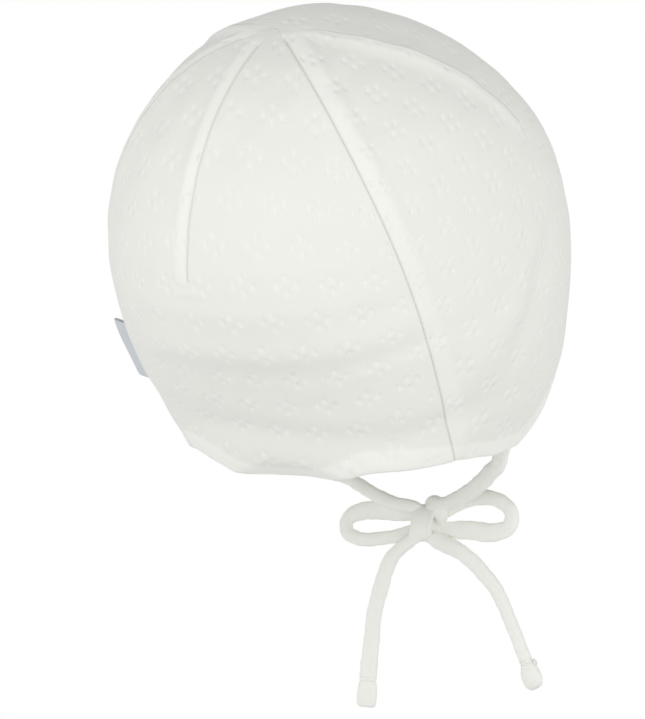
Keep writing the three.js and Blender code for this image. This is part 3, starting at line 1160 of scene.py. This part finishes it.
@dataclass(frozen=True)
class BowAxes:
    """The bow's own axes: across to the wearer's right, deep towards the back of the head."""

    yaw: float = 15.0
    knot: tuple = (0.0, -45.6, -89.0)

    def across(self) -> np.ndarray:
        """Returns the way across."""
        turn = math.radians(self.yaw)
        return np.array([-math.cos(turn), -math.sin(turn), 0.0])

    def deep(self) -> np.ndarray:
        """Returns the way towards the back of the head."""
        turn = math.radians(self.yaw)
        return np.array([-math.sin(turn), math.cos(turn), 0.0])

    def point(self, across: Any, deep: Any, up: Any) -> np.ndarray:
        """Finds points by their places from the knot's centre.

        Args:
            across: Millimetres to the wearer's right.
            deep: Millimetres towards the back of the head.
            up: Millimetres up.

        Returns:
            Points in millimetres, in the part's frame.
        """
        across, deep, up = (np.asarray(x, float)[..., None] for x in (across, deep, up))
        start = np.array(self.knot) + HEAD_CENTRE
        return start + across * self.across() + deep * self.deep() + up * np.array([0.0, 0.0, 1.0])


@dataclass(frozen=True)
class TubeRow:
    """A point of a tube's route, with the tube's width and depth there."""

    across: float
    deep: float
    up: float
    width: float
    depth: float


@dataclass
class JerseyTube:
    """A narrow tube of jersey, pressed a little flat, along a route from the knot."""

    name: str
    rows: tuple[TubeRow, ...]
    start: tuple[float, float, float] | None = None
    start_size: tuple[float, float] = (4.6, 3.6)
    wrinkle: float = 0.05
    phase: float = 0.0
    sides: int = 28
    spacing: float = 0.55
    path: np.ndarray = field(default_factory=lambda: np.zeros((0, 3)))

    def route(self, axes: BowAxes) -> tuple[np.ndarray, np.ndarray]:
        """Finds the smooth route and the tube's size along it.

        Args:
            axes: The bow's axes.

        Returns:
            Points in millimetres, and the width and depth at each.
        """
        points = [axes.point(row.across, row.deep, row.up) for row in self.rows]
        sizes = [(row.width, row.depth) for row in self.rows]
        if self.start is not None:
            points.insert(0, np.array(self.start) + HEAD_CENTRE)
            sizes.insert(0, self.start_size)
        points, sizes = np.array(points), np.array(sizes)
        ends = np.concatenate([[2 * points[0] - points[1]], points, [2 * points[-1] - points[-2]]])
        found, found_sizes = [], []
        for i in range(len(points) - 1):
            a, b, c, d = ends[i : i + 4]
            spans = ((a, b), (b, c), (c, d))
            knots = np.cumsum([0.0, *(max(np.linalg.norm(q - p), 1e-6) ** 0.5 for p, q in spans)])
            steps = max(2, round(float(np.linalg.norm(c - b)) / self.spacing))
            for step in range(steps + (i == len(points) - 2)):
                share = step / steps
                t = knots[1] + share * (knots[2] - knots[1])

                def between(p: np.ndarray, q: np.ndarray, low: float, high: float) -> np.ndarray:
                    """Moves from p at low to q at high."""
                    return p + (q - p) * (t - low) / (high - low)

                ab = between(a, b, *knots[:2])
                bc = between(b, c, *knots[1:3])
                cd = between(c, d, *knots[2:])
                abc, bcd = between(ab, bc, knots[0], knots[2]), between(bc, cd, knots[1], knots[3])
                found.append(between(abc, bcd, knots[1], knots[2]))
                ease = share * share * (3 - 2 * share)
                found_sizes.append(sizes[i] * (1 - ease) + sizes[i + 1] * ease)
        return np.array(found), np.array(found_sizes)

    def build(self, axes: BowAxes, finish: Any) -> Any:
        """Builds the tube.

        Args:
            axes: The bow's axes.
            finish: Its material.

        Returns:
            The tube's object.
        """
        line, sizes = self.route(axes)
        self.path = line * MM
        tangents = unit(np.gradient(line, axis=0))
        normal = axes.deep() - tangents * (tangents @ axes.deep())[:, None]
        normal = unit(normal)
        side = np.cross(tangents, normal)
        along = np.concatenate([[0], np.cumsum(np.linalg.norm(np.diff(line, axis=0), axis=1))])
        turn = np.linspace(0, 2 * math.pi, self.sides, endpoint=False)
        c, s = np.cos(turn), np.sin(turn)
        squash = 0.82
        x = np.sign(c) * np.abs(c) ** squash
        y = np.sign(s) * np.abs(s) ** squash
        a, t = along[:, None], turn[None, :]
        crease = np.sin(1.15 * a + 2.2 * np.cos(t + self.phase) + self.phase)
        crease = crease * np.sin(0.43 * a + 1.3 * np.sin(t) + 2 * self.phase)
        press = 1 + self.wrinkle * crease
        offset = (
            side[:, None, :] * (x[None, :] * press * sizes[:, :1] / 2)[..., None]
            + normal[:, None, :] * (y[None, :] * press * sizes[:, 1:] / 2)[..., None]
        )
        rings = line[:, None, :] + offset
        count = len(line)
        points = np.concatenate([rings.reshape(-1, 3), line[:1], line[-1:]])
        number = np.arange(count * self.sides).reshape(count, self.sides)
        after = np.roll(number, -1, axis=1)
        faces = strip_faces(number, after)
        first, last = count * self.sides, count * self.sides + 1
        for i in range(self.sides):
            faces.append([first, int(number[0, i]), int(after[0, i])])
            faces.append([last, int(after[-1, i]), int(number[-1, i])])
        girth = (sizes.sum(axis=1) * math.pi / 4)[:, None]
        u = (turn[None, :] / math.pi - 1) * girth
        v = np.broadcast_to(along[:, None], u.shape)
        cloth = np.stack([u, v, np.zeros_like(u)], -1).reshape(-1, 3)
        cloth = np.concatenate([cloth, [[0, 0, 0], [0, float(along[-1]), 0]]])
        far = np.full((len(cloth), 3), (20.0, 20.0, 0.0))
        return mesh_piece(self.name, points, faces, {"cloth": cloth, "seams": far}, finish)


class Bow:
    """The chin ties, the knot, its two loops and the two tails."""

    def __init__(self, axes: BowAxes) -> None:
        """Lists the tubes by name."""
        self.axes = axes
        rows = {
            "chin_tie_right": (
                (35.6, 24.5, 18.8, 5.2, 3.6),
                (31.4, 21.1, 15.8, 5.6, 3.6),
                (25.6, 16.6, 11.9, 5.6, 3.6),
                (17.8, 10.4, 8.4, 5.2, 3.6),
                (9.3, 3.7, 5.8, 4.6, 3.4),
                (4.3, 2.4, 4.6, 4.2, 3.2),
                (1.2, 1.2, 3.0, 4.0, 3.2),
            ),
            "chin_tie_left": (
                (-38.0, 3.8, 17.2, 4.0, 3.6),
                (-26.3, 3.3, 13.6, 4.2, 3.6),
                (-17.0, 2.9, 8.4, 4.4, 3.6),
                (-10.0, 2.7, 5.6, 4.2, 3.4),
                (-4.3, 2.4, 4.6, 4.0, 3.2),
                (-1.2, 1.2, 3.0, 4.0, 3.2),
            ),
            "bow_loop_right": (
                (1.0, -1.0, 0.4, 4.0, 3.2),
                (4.3, -1.6, 1.8, 4.2, 3.2),
                (10.9, -1.6, 5.6, 4.8, 3.6),
                (17.3, -1.6, 7.4, 5.2, 3.6),
                (23.9, -1.5, 6.8, 4.8, 3.7),
                (29.2, -1.3, 2.8, 4.5, 3.8),
                (28.5, -1.0, -2.0, 5.0, 3.8),
                (23.2, -1.0, -3.9, 6.1, 3.8),
                (14.5, -1.2, -3.2, 6.2, 3.7),
                (4.4, -1.4, -2.8, 4.8, 3.2),
                (1.0, -0.8, -1.6, 4.0, 3.2),
            ),
            "bow_loop_left": (
                (-1.0, -1.0, 0.4, 4.2, 3.2),
                (-4.3, -1.6, 1.8, 5.0, 3.2),
                (-13.4, -1.6, 3.0, 6.3, 3.7),
                (-22.4, -1.5, 3.0, 5.9, 3.8),
                (-28.0, -1.3, 0.6, 4.6, 3.8),
                (-28.4, -1.0, -3.6, 4.4, 3.8),
                (-24.4, -1.0, -6.0, 4.5, 3.7),
                (-17.0, -1.2, -6.0, 4.4, 3.6),
                (-9.6, -1.4, -4.7, 4.3, 3.4),
                (-4.4, -1.4, -3.0, 4.2, 3.2),
                (-1.0, -0.8, -1.6, 4.0, 3.2),
            ),
            "tie_tail_right": (
                (0.8, -0.6, -4.6, 5.0, 3.4),
                (4.2, 0.2, -6.6, 5.6, 3.8),
                (9.2, 1.2, -8.6, 5.5, 3.8),
                (14.2, 1.4, -11.3, 5.0, 3.7),
                (18.5, 1.0, -15.2, 5.0, 3.7),
                (25.0, 0.6, -22.9, 4.6, 3.6),
                (28.8, 0.6, -30.7, 4.3, 3.5),
                (32.2, 0.6, -38.4, 4.2, 3.5),
                (35.1, 0.6, -45.5, 4.3, 3.4),
            ),
            "tie_tail_left": (
                (-1.0, 1.6, -4.4, 3.8, 3.4),
                (-4.6, 1.8, -6.4, 4.1, 3.5),
                (-8.3, 1.6, -9.0, 4.3, 3.6),
                (-11.3, 1.4, -11.7, 4.6, 3.6),
                (-13.4, 1.0, -15.2, 5.0, 3.6),
                (-16.1, 0.6, -22.9, 5.2, 3.5),
                (-18.2, 0.6, -30.7, 5.0, 3.5),
                (-19.0, 0.6, -38.4, 5.3, 3.4),
                (-19.9, 0.6, -46.2, 5.7, 3.3),
                (-20.3, 0.6, -51.2, 5.9, 3.1),
            ),
        }
        starts = {
            "chin_tie_right": (-49.2, -23.3, -57.2),
            "chin_tie_left": (51.7, -18.4, -54.6),
        }
        self.tubes = {
            name: JerseyTube(
                name + "_tube",
                tuple(TubeRow(*row) for row in found),
                start=starts.get(name),
                phase=0.9 * i,
            )
            for i, (name, found) in enumerate(rows.items())
        }

    def build(self, finish: Any, thread: Any) -> None:
        """Args:
            finish: The jersey's material.
            thread: The thread's material.
        """
        for name, tube in self.tubes.items():
            tube.build(self.axes, finish)
            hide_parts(name)
        knot = Knot(self.axes)
        knot_pieces = knot.build(finish)
        for name, shape in TAIL_ENDS.items():
            shape.build(self.tubes["tie_tail_" + name].path, self.axes, finish, thread)
        for name in ("chin_tie_right", "chin_tie_left"):
            self.declare(name)
        self.declare("tie_tail_right")
        self.declare("tie_tail_left")

    def declare(self, name: str) -> None:
        """Lists every second point of a tube's path and its last point, and keeps nothing.

        Args:
            name: The tube's name.
        """
        path = self.tubes[name].path
        path[::2].tolist() + [path[-1].tolist()]


@dataclass
class Knot:
    """The knot: a core where the ties cross, a band round it and a strand that turns under."""

    axes: BowAxes
    across: float = 6.6
    deep: float = 6.6
    high: float = 10.6
    squareness: float = 0.9

    def core(self, finish: Any) -> Any:
        """Builds the crossed strands inside the knot.

        Args:
            finish: Its material.

        Returns:
            The core's object.
        """
        rows, columns = 40, 64
        down = np.linspace(0, math.pi, rows + 1)[1:-1, None]
        turn = np.linspace(0, 2 * math.pi, columns, endpoint=False)[None, :]
        ball = np.stack(
            [np.sin(down) * np.cos(turn), np.sin(down) * np.sin(turn), np.cos(down) + 0 * turn], -1
        ).reshape(-1, 3)
        ball = np.concatenate([ball, [[0, 0, 1], [0, 0, -1]]])
        swollen = np.sign(ball) * np.abs(ball) ** self.squareness
        swollen = swollen / np.sqrt(np.linalg.norm(swollen, axis=1))[:, None]
        crease = 1 + 0.035 * np.sin(5 * ball[:, 2] + 4 * ball[:, 0]) * np.cos(3 * ball[:, 1])
        size = np.array([self.across, self.deep, self.high]) / 2
        at = swollen * size * crease[:, None]
        points = self.axes.point(at[:, 0], at[:, 1], at[:, 2])
        number = np.arange((rows - 1) * columns).reshape(rows - 1, columns)
        after = np.roll(number, -1, axis=1)
        corners = [number[:-1], after[:-1], after[1:], number[1:]]
        faces = np.stack(corners, -1).reshape(-1, 4).tolist()
        top, bottom = (rows - 1) * columns, (rows - 1) * columns + 1
        for i in range(columns):
            faces.append([top, int(after[0, i]), int(number[0, i])])
            faces.append([bottom, int(number[-1, i]), int(after[-1, i])])
        cloth = np.stack([at[:, 0] + at[:, 1], at[:, 2], 0 * at[:, 2]], -1)
        far = np.full((len(cloth), 3), (20.0, 20.0, 0.0))
        piece = mesh_piece("knot_core", points, faces, {"cloth": cloth, "seams": far}, finish)
        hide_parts("bow_knot")
        return piece

    def band(
        self, name: str, centre: tuple, size: tuple, lean: float, section: tuple, finish: Any
    ) -> Any:
        """Builds a strand that is drawn right round the core.

        Args:
            name: The piece's name.
            centre: Its middle from the knot's centre: across, deep and up.
            size: Its reach from the middle: deep and up.
            lean: How far its top leans to the wearer's right, in degrees.
            section: The strand's width and thickness.
            finish: Its material.

        Returns:
            The band's object.
        """
        columns, sides = 96, 24
        turn = np.linspace(0, 2 * math.pi, columns, endpoint=False)
        deep, up = size[0] * np.cos(turn), size[1] * np.sin(turn)
        lean_share = math.tan(math.radians(lean))
        slope = centre[0] + up * lean_share + 0.5 * np.sin(turn)
        line = self.axes.point(slope, centre[1] + deep, centre[2] + up)
        outward = unit(
            self.axes.point(0 * turn, np.cos(turn) / size[0], np.sin(turn) / size[1])
            - self.axes.point(0.0, 0.0, 0.0)
        )
        tangents = unit(np.roll(line, -1, axis=0) - np.roll(line, 1, axis=0))
        outward = unit(outward - tangents * (outward * tangents).sum(1)[:, None])
        across = np.cross(tangents, outward)
        round_it = np.linspace(0, 2 * math.pi, sides, endpoint=False)
        x = np.sign(np.cos(round_it)) * np.abs(np.cos(round_it)) ** 0.7
        y = np.sign(np.sin(round_it)) * np.abs(np.sin(round_it)) ** 0.8
        tuck = 1 + 0.05 * np.sin(3 * turn[:, None] + 2 * round_it[None, :])
        width = section[0] / 2 * (1 - 0.1 * np.cos(2 * turn))
        rings = (
            line[:, None, :]
            + across[:, None, :] * (x[None, :] * width[:, None] * tuck)[..., None]
            + outward[:, None, :] * (y[None, :] * section[1] / 2 * tuck)[..., None]
        )
        number = np.arange(columns * sides).reshape(columns, sides)
        below = np.roll(number, -1, axis=0)
        beside = [np.roll(below, -1, axis=1), np.roll(number, -1, axis=1)]
        faces = np.stack([number, below, *beside], -1)
        cloth = np.stack(
            [
                np.broadcast_to(round_it / math.pi * section[0], (columns, sides)),
                np.broadcast_to(turn[:, None] * size[1], (columns, sides)),
                np.zeros((columns, sides)),
            ],
            -1,
        ).reshape(-1, 3)
        far = np.full((len(cloth), 3), (20.0, 20.0, 0.0))
        vectors = {"cloth": cloth, "seams": far}
        faces = faces.reshape(-1, 4).tolist()
        piece = mesh_piece(name, rings.reshape(-1, 3), faces, vectors, finish)
        return piece

    def build(self, finish: Any) -> list:
        """Builds the knot.

        Args:
            finish: The jersey's material.

        Returns:
            The knot's pieces.
        """
        core = self.core(finish)
        band = self.band("knot_band", (-0.6, 0.2, -0.9), (3.8, 5.1), 6.0, (7.3, 2.0), finish)
        wrap = self.band("knot_wrap", (2.9, 0.3, -0.6), (3.8, 5.0), 7.0, (1.7, 1.8), finish)
        rows = (
            TubeRow(0.8, -1.5, 4.0, 4.4, 4.0),
            TubeRow(3.0, 0.8, 5.6, 5.0, 4.6),
            TubeRow(4.9, 1.9, 4.8, 5.4, 4.8),
            TubeRow(5.5, 1.4, 2.2, 4.8, 4.4),
            TubeRow(4.4, -0.6, 0.2, 4.0, 3.8),
            TubeRow(2.6, -1.8, -0.6, 3.4, 3.2),
        )
        strand = JerseyTube("knot_strand", rows, wrinkle=0.03).build(self.axes, finish)
        return [core, band, wrap, strand]


@dataclass(frozen=True)
class TailEnd:
    """A sewn end of a tie: a soft tab with a row of stitches across its neck."""

    name: str
    node: str
    turn: float
    rows: tuple
    loop: bool = False

    def build(self, path: np.ndarray, axes: BowAxes, finish: Any, thread: Any) -> list:
        """Builds the end.

        Args:
            path: The tail's route in metres.
            axes: The bow's axes.
            finish: The jersey's material.
            thread: The thread's material.

        Returns:
            The end's pieces.
        """
        end = path[-1] / MM
        down = unit(path[-1] - path[-3])
        turn = math.radians(self.turn)
        wide = axes.across() * math.cos(turn) + axes.deep() * math.sin(turn)
        wide = unit(wide - down * float(wide @ down))
        thick = np.cross(wide, down)
        sides = 32
        distances = np.linspace(self.rows[0][0], self.rows[-1][0], 46)
        width = curve_value(self.rows, 1, distances) / 2
        depth = curve_value(self.rows, 2, distances) / 2
        round_it = np.linspace(0, 2 * math.pi, sides, endpoint=False)
        x = np.sign(np.cos(round_it)) * np.abs(np.cos(round_it)) ** 0.75
        y = np.sign(np.sin(round_it)) * np.abs(np.sin(round_it)) ** 0.85
        centre = end + distances[:, None] * down
        rings = (
            centre[:, None, :]
            + wide * (x[None, :] * width[:, None])[..., None]
            + thick * (y[None, :] * depth[:, None])[..., None]
        )
        number = np.arange(len(distances) * sides).reshape(-1, sides)
        after = np.roll(number, -1, axis=1)
        faces = strip_faces(number, after)
        points = np.concatenate([rings.reshape(-1, 3), centre[:1], centre[-1:]])
        first = len(distances) * sides
        for i in range(sides):
            faces.append([first, int(number[0, i]), int(after[0, i])])
            faces.append([first + 1, int(after[-1, i]), int(number[-1, i])])
        u = np.broadcast_to(round_it / math.pi * 5, (len(distances), sides))
        v = np.broadcast_to(distances[:, None], u.shape)
        cloth = np.stack([u, v, np.zeros_like(u)], -1).reshape(-1, 3)
        cloth = np.concatenate([cloth, np.zeros((2, 3))])
        far = np.full((len(cloth), 3), (20.0, 20.0, 0.0))
        piece = mesh_piece(self.name, points, faces, {"cloth": cloth, "seams": far}, finish)
        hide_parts(self.node)
        return [piece, self.stitches(end, down, wide, thick, thread)]

    def stitches(self, end: Any, down: Any, wide: Any, thick: Any, thread: Any) -> Any:
        """Builds the row of stitches across the neck, and the loose thread loop if there is one.

        Args:
            end: Where the tube ends, in millimetres.
            down: The way along the tail.
            wide: The way across the tab.
            thick: The way through the tab.
            thread: The thread's material.

        Returns:
            The stitches' object.
        """
        neck = 1.0
        half = float(curve_value(self.rows, 1, neck)) / 2
        depth = float(curve_value(self.rows, 2, neck)) / 2
        points, faces = [], []
        for face in (-1, 1):
            for k in range(6):
                at = (k - 2.5) / 3 * half * 0.86
                lift = depth * math.sqrt(max(0.0, 1 - (at / half) ** 2)) ** 0.85 - 0.05
                middle = end + down * neck + wide * at + thick * face * lift
                line = self.stitch_line(middle, wide, thick * face, half / 3 * 0.62)
                self.add_strand(points, faces, line, 0.17)
        if self.loop:
            turn = np.linspace(0, 2 * math.pi, 22)
            ring = [
                end
                + down * (1.6 - 1.1 * math.cos(t))
                + wide * (half + 0.3 + 0.9 * math.sin(t))
                + thick * 0.2 * t
                for t in turn
            ]
            self.add_strand(points, faces, np.array(ring), 0.3)
        vectors = {}
        piece = mesh_piece(self.name + "_stitches", np.array(points), faces, vectors, thread)
        return piece

    @staticmethod
    def stitch_line(middle: Any, along: Any, out: Any, length: float) -> np.ndarray:
        """Bends one stitch over the cloth.

        Args:
            middle: Its middle.
            along: The way it runs.
            out: The way out of the cloth.
            length: Its length.

        Returns:
            Its points.
        """
        share = np.linspace(-1, 1, 7)
        return np.array(
            [middle + along * s * length / 2 + out * (0.12 - 0.22 * s * s) for s in share]
        )

    @staticmethod
    def add_strand(points: list, faces: list, line: np.ndarray, radius: float) -> None:
        """Adds a thin round strand to a mesh.

        Args:
            points: The mesh's points.
            faces: The mesh's faces.
            line: The strand's middle line.
            radius: Its radius.
        """
        sides = 7
        tangents = unit(np.gradient(line, axis=0))
        first = unit(np.cross(tangents, np.array([0.31, 0.2, 0.93])))
        second = np.cross(tangents, first)
        start = len(points)
        for i, place in enumerate(line):
            for k in range(sides):
                t = 2 * math.pi * k / sides
                points.append(place + radius * (math.cos(t) * first[i] + math.sin(t) * second[i]))
        for i in range(len(line) - 1):
            for k in range(sides):
                a, b = start + i * sides + k, start + i * sides + (k + 1) % sides
                faces.append([a, b, b + sides, a + sides])
        faces.append([start + k for k in range(sides)][::-1])
        faces.append([start + (len(line) - 1) * sides + k for k in range(sides)])


TAIL_ENDS = {
    "left": TailEnd(
        "tail_tip_left",
        "tail_end_left",
        8.0,
        (
            (-0.6, 5.7, 3.0),
            (0.3, 5.9, 2.8),
            (1.0, 6.0, 2.1),
            (1.8, 6.5, 2.7),
            (4.0, 7.0, 3.0),
            (6.6, 7.2, 2.8),
            (8.3, 7.0, 2.3),
            (9.1, 6.2, 1.6),
            (9.45, 4.6, 0.7),
        ),
    ),
    "right": TailEnd(
        "tail_tip_right",
        "tail_end_right",
        15.0,
        (
            (-0.6, 4.2, 3.2),
            (0.3, 4.4, 3.1),
            (1.0, 4.6, 2.6),
            (2.0, 5.6, 3.6),
            (4.2, 6.9, 4.4),
            (6.4, 7.1, 4.4),
            (8.2, 6.2, 3.6),
            (9.2, 4.6, 2.4),
            (9.6, 2.6, 1.0),
        ),
        loop=True,
    ),
}


@dataclass(frozen=True)
class SideTag:
    """A short folded tape, caught in the wearer's left side seam and left bare."""

    form: HeadForm
    length: float = 21.0
    reach: float = 8.9
    polar: float = 103.0
    tape: float = 0.34
    lean: tuple = (0.885, -0.42, 0.18)

    def build(self, finish: Any) -> Any:
        """Builds the tag.

        Args:
            finish: Its material.

        Returns:
            The tag's object.
        """
        lean = unit(self.lean)
        rows = 44
        share = np.linspace(-0.5, 0.5, rows)
        at = lambda polar: self.form.point(
            FULL_TURN - line_azimuth(Line.LEFT_SIDE_SEAM, polar), polar, 0.0
        )
        middle = np.array([self.polar])
        radius = float(np.linalg.norm(at(middle)[0] - HEAD_CENTRE))
        polar = self.polar + np.degrees(share * self.length / radius)
        root = at(polar)
        along = unit(at(polar + 1) - root)
        across = unit(np.cross(along, lean))
        section, cloth_u = self.section()
        rings = (
            root[:, None, :]
            + lean * section[None, :, 0, None]
            + across[:, None, :] * section[None, :, 1, None]
        )
        wave = 0.25 * np.sin(share * 7 + 0.6)[:, None] * (section[:, 0] / self.reach)[None, :] ** 2
        rings = rings + across[:, None, :] * wave[..., None]
        sides = section.shape[0]
        number = np.arange(rows * sides).reshape(rows, sides)
        after = np.roll(number, -1, axis=1)
        faces = strip_faces(number, after)
        half = sides // 2
        for row, turned in ((0, True), (rows - 1, False)):
            for i in range(half - 1):
                face = [
                    number[row, i],
                    number[row, i + 1],
                    number[row, sides - 2 - i],
                    number[row, sides - 1 - i],
                ]
                face = [int(n) for n in face]
                faces.append(face if turned else face[::-1])
        cloth = np.stack(
            [
                np.broadcast_to(cloth_u, (rows, sides)),
                np.broadcast_to((share * self.length)[:, None], (rows, sides)),
                np.zeros((rows, sides)),
            ],
            -1,
        ).reshape(-1, 3)
        piece = mesh_piece("side_tag_tape", rings.reshape(-1, 3), faces, {"cloth": cloth}, finish)
        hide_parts("side_tag")
        return piece

    def section(self) -> tuple[np.ndarray, np.ndarray]:
        """Draws the folded tape from its edge: out along one layer, round the fold and back.

        Returns:
            Points as reach and side, and the distance along the tape at each.
        """
        fold, straight = 0.46, 14
        out = np.linspace(0.35, self.reach - fold, straight)
        spread = 0.16 * np.sin(math.pi * (out - 0.35) / (self.reach - fold))
        bend = np.linspace(-math.pi / 2, math.pi / 2, 13)[1:-1]
        outer = np.concatenate(
            [
                np.stack([out, -fold - spread], -1),
                np.stack([self.reach - fold + fold * np.cos(bend), fold * np.sin(bend)], -1),
                np.stack([out, fold + spread], -1)[::-1],
            ]
        )
        thin = fold - self.tape
        inner = np.concatenate(
            [
                np.stack([out, -thin - spread], -1),
                np.stack([self.reach - fold + thin * np.cos(bend), thin * np.sin(bend)], -1),
                np.stack([out, thin + spread], -1)[::-1],
            ]
        )
        steps = np.concatenate([[0], np.cumsum(np.linalg.norm(np.diff(outer, axis=0), axis=1))])
        return np.concatenate([outer, inner[::-1]]), np.concatenate([steps, steps[::-1]])


@dataclass(frozen=True)
class Studio:
    """The floor, the light and the camera."""

    view_turn: float = 218.0
    distance: float = 8.0
    frame_height: float = 0.23194
    centre: tuple = (0.00445, 0.00348, -0.1128)
    floor_drop: float = -0.40
    floor_radius: float = 0.35
    sky: float = 0.945
    sky_rows: tuple = ((-1.0, 0.96), (-0.3, 1.02), (0.2, 1.0), (0.55, 0.84), (1.0, 0.12))
    key_power: float = 1.8

    def camera_way(self) -> Vector:
        """Returns the way from the bonnet to the camera."""
        turn = math.radians(self.view_turn)
        return Vector((math.sin(turn), -math.cos(turn), 0.0))

    def place_camera(self) -> None:
        """Sets the camera at the photograph's angle, with a long lens."""
        data = bpy.data.cameras.new("camera")
        camera = bpy.data.objects.new("camera", data)
        bpy.context.scene.collection.objects.link(camera)
        data.lens = data.sensor_width * self.distance / self.frame_height
        data.clip_end = 100.0
        way = self.camera_way()
        camera.location = Vector(self.centre) + way * self.distance
        camera.rotation_mode = "QUATERNION"
        camera.rotation_quaternion = (-way).to_track_quat("-Z", "Y")
        bpy.context.scene.camera = camera

    def build(self) -> None:
        """Builds the floor and the lights."""
        steps = 128
        points = [(0.0, 0.0, self.floor_drop)]
        for i in range(steps):
            t = 2 * math.pi * i / steps
            x, y = self.floor_radius * math.cos(t), self.floor_radius * math.sin(t)
            points.append((x, y, self.floor_drop))
        faces = [(0, 1 + i, 1 + (i + 1) % steps) for i in range(steps)]
        mesh = bpy.data.meshes.new("floor")
        mesh.from_pydata(points, [], faces)
        mesh.materials.append(FloorFinish("pale_floor").make())
        floor = bpy.data.objects.new("floor", mesh)
        bpy.context.scene.collection.objects.link(floor)
        self.light("key", self.camera_way() * 1.5 + Vector((0.25, 0.0, -0.05)), 1.3, self.key_power)
        self.sky_light()

    def light(self, name: str, offset: Vector, size: float, power: float) -> None:
        """Adds a large soft light that faces the bonnet.

        Args:
            name: The light's name.
            offset: Where it stands, from the middle of the bonnet.
            size: Its width.
            power: Its power in watts.
        """
        data = bpy.data.lights.new(name, "AREA")
        data.shape = "DISK"
        data.size = size
        data.energy = power
        lamp = bpy.data.objects.new(name, data)
        bpy.context.scene.collection.objects.link(lamp)
        lamp.location = Vector((0.0, 0.0, -0.1)) + offset
        lamp.rotation_mode = "QUATERNION"
        lamp.rotation_quaternion = (-offset).to_track_quat("-Z", "Y")

    def sky_light(self) -> None:
        """Fills the room with soft light, dimmer above and in front, before a white backdrop."""
        world = bpy.data.worlds.new("studio")
        bpy.context.scene.world = world
        world.use_nodes = True
        book = ShaderBook("studio", world.node_tree)
        way = book.add("ShaderNodeTexCoord").out("Generated")
        dim = (Vector((0.0, 0.0, 0.85)) - self.camera_way() * 0.5).normalized()
        dotted = book.add("ShaderNodeVectorMath", {"operation": "DOT_PRODUCT"}, {0: way, 1: dim})
        rise = dotted.out("Value")
        stops = [((z + 1) / 2, (level, level, level, 1.0)) for z, level in self.sky_rows]
        shade = book.add("ShaderNodeValToRGB", {"stops": stops}, {0: rise * 0.5 + 0.5}).out(0)
        soft = book.add("ShaderNodeBackground", None, {"Color": shade, "Strength": self.sky}).out()
        white = book.add("ShaderNodeBackground", None, {"Color": (1.0, 1.0, 1.0, 1.0)}).out()
        sight = book.add("ShaderNodeLightPath").out("Is Camera Ray")
        mix = book.add("ShaderNodeMixShader", None, {0: sight, 1: soft, 2: white}).out()
        book.add("ShaderNodeOutputWorld", None, {"Surface": mix})
        bpy.context.scene.view_settings.view_transform = "Standard"


def main() -> None:
    """Builds the scene's parts in order."""
    logging.basicConfig(level=logging.INFO, format="%(message)s")
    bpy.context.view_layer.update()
    studio = Studio()
    studio.place_camera()
    tie_jersey = JerseyFinish(
        "plain_jersey",
        tufts=False,
        colour=(0.945, 0.950, 0.900, 1.0),
        pale_tone_and_tuft_highlight_colour=(0.97, 0.97, 0.93, 1.0),
        knit_rise=0.015,
        fuzz_rise=0.0,
    ).make()
    thread = ThreadFinish("sewing_thread").make()
    bow = Bow(BowAxes())
    bow.build(tie_jersey, thread)
    form = HeadForm()
    tufted_jersey = JerseyFinish("tufted_jersey").make()
    back = BackPanel(form).build(tufted_jersey)
    front = FrontPanel(form).build(tufted_jersey)
    SideTag(form).build(TapeFinish("woven_tape").make())
    studio.build()


if __name__ == "__main__":
    main()
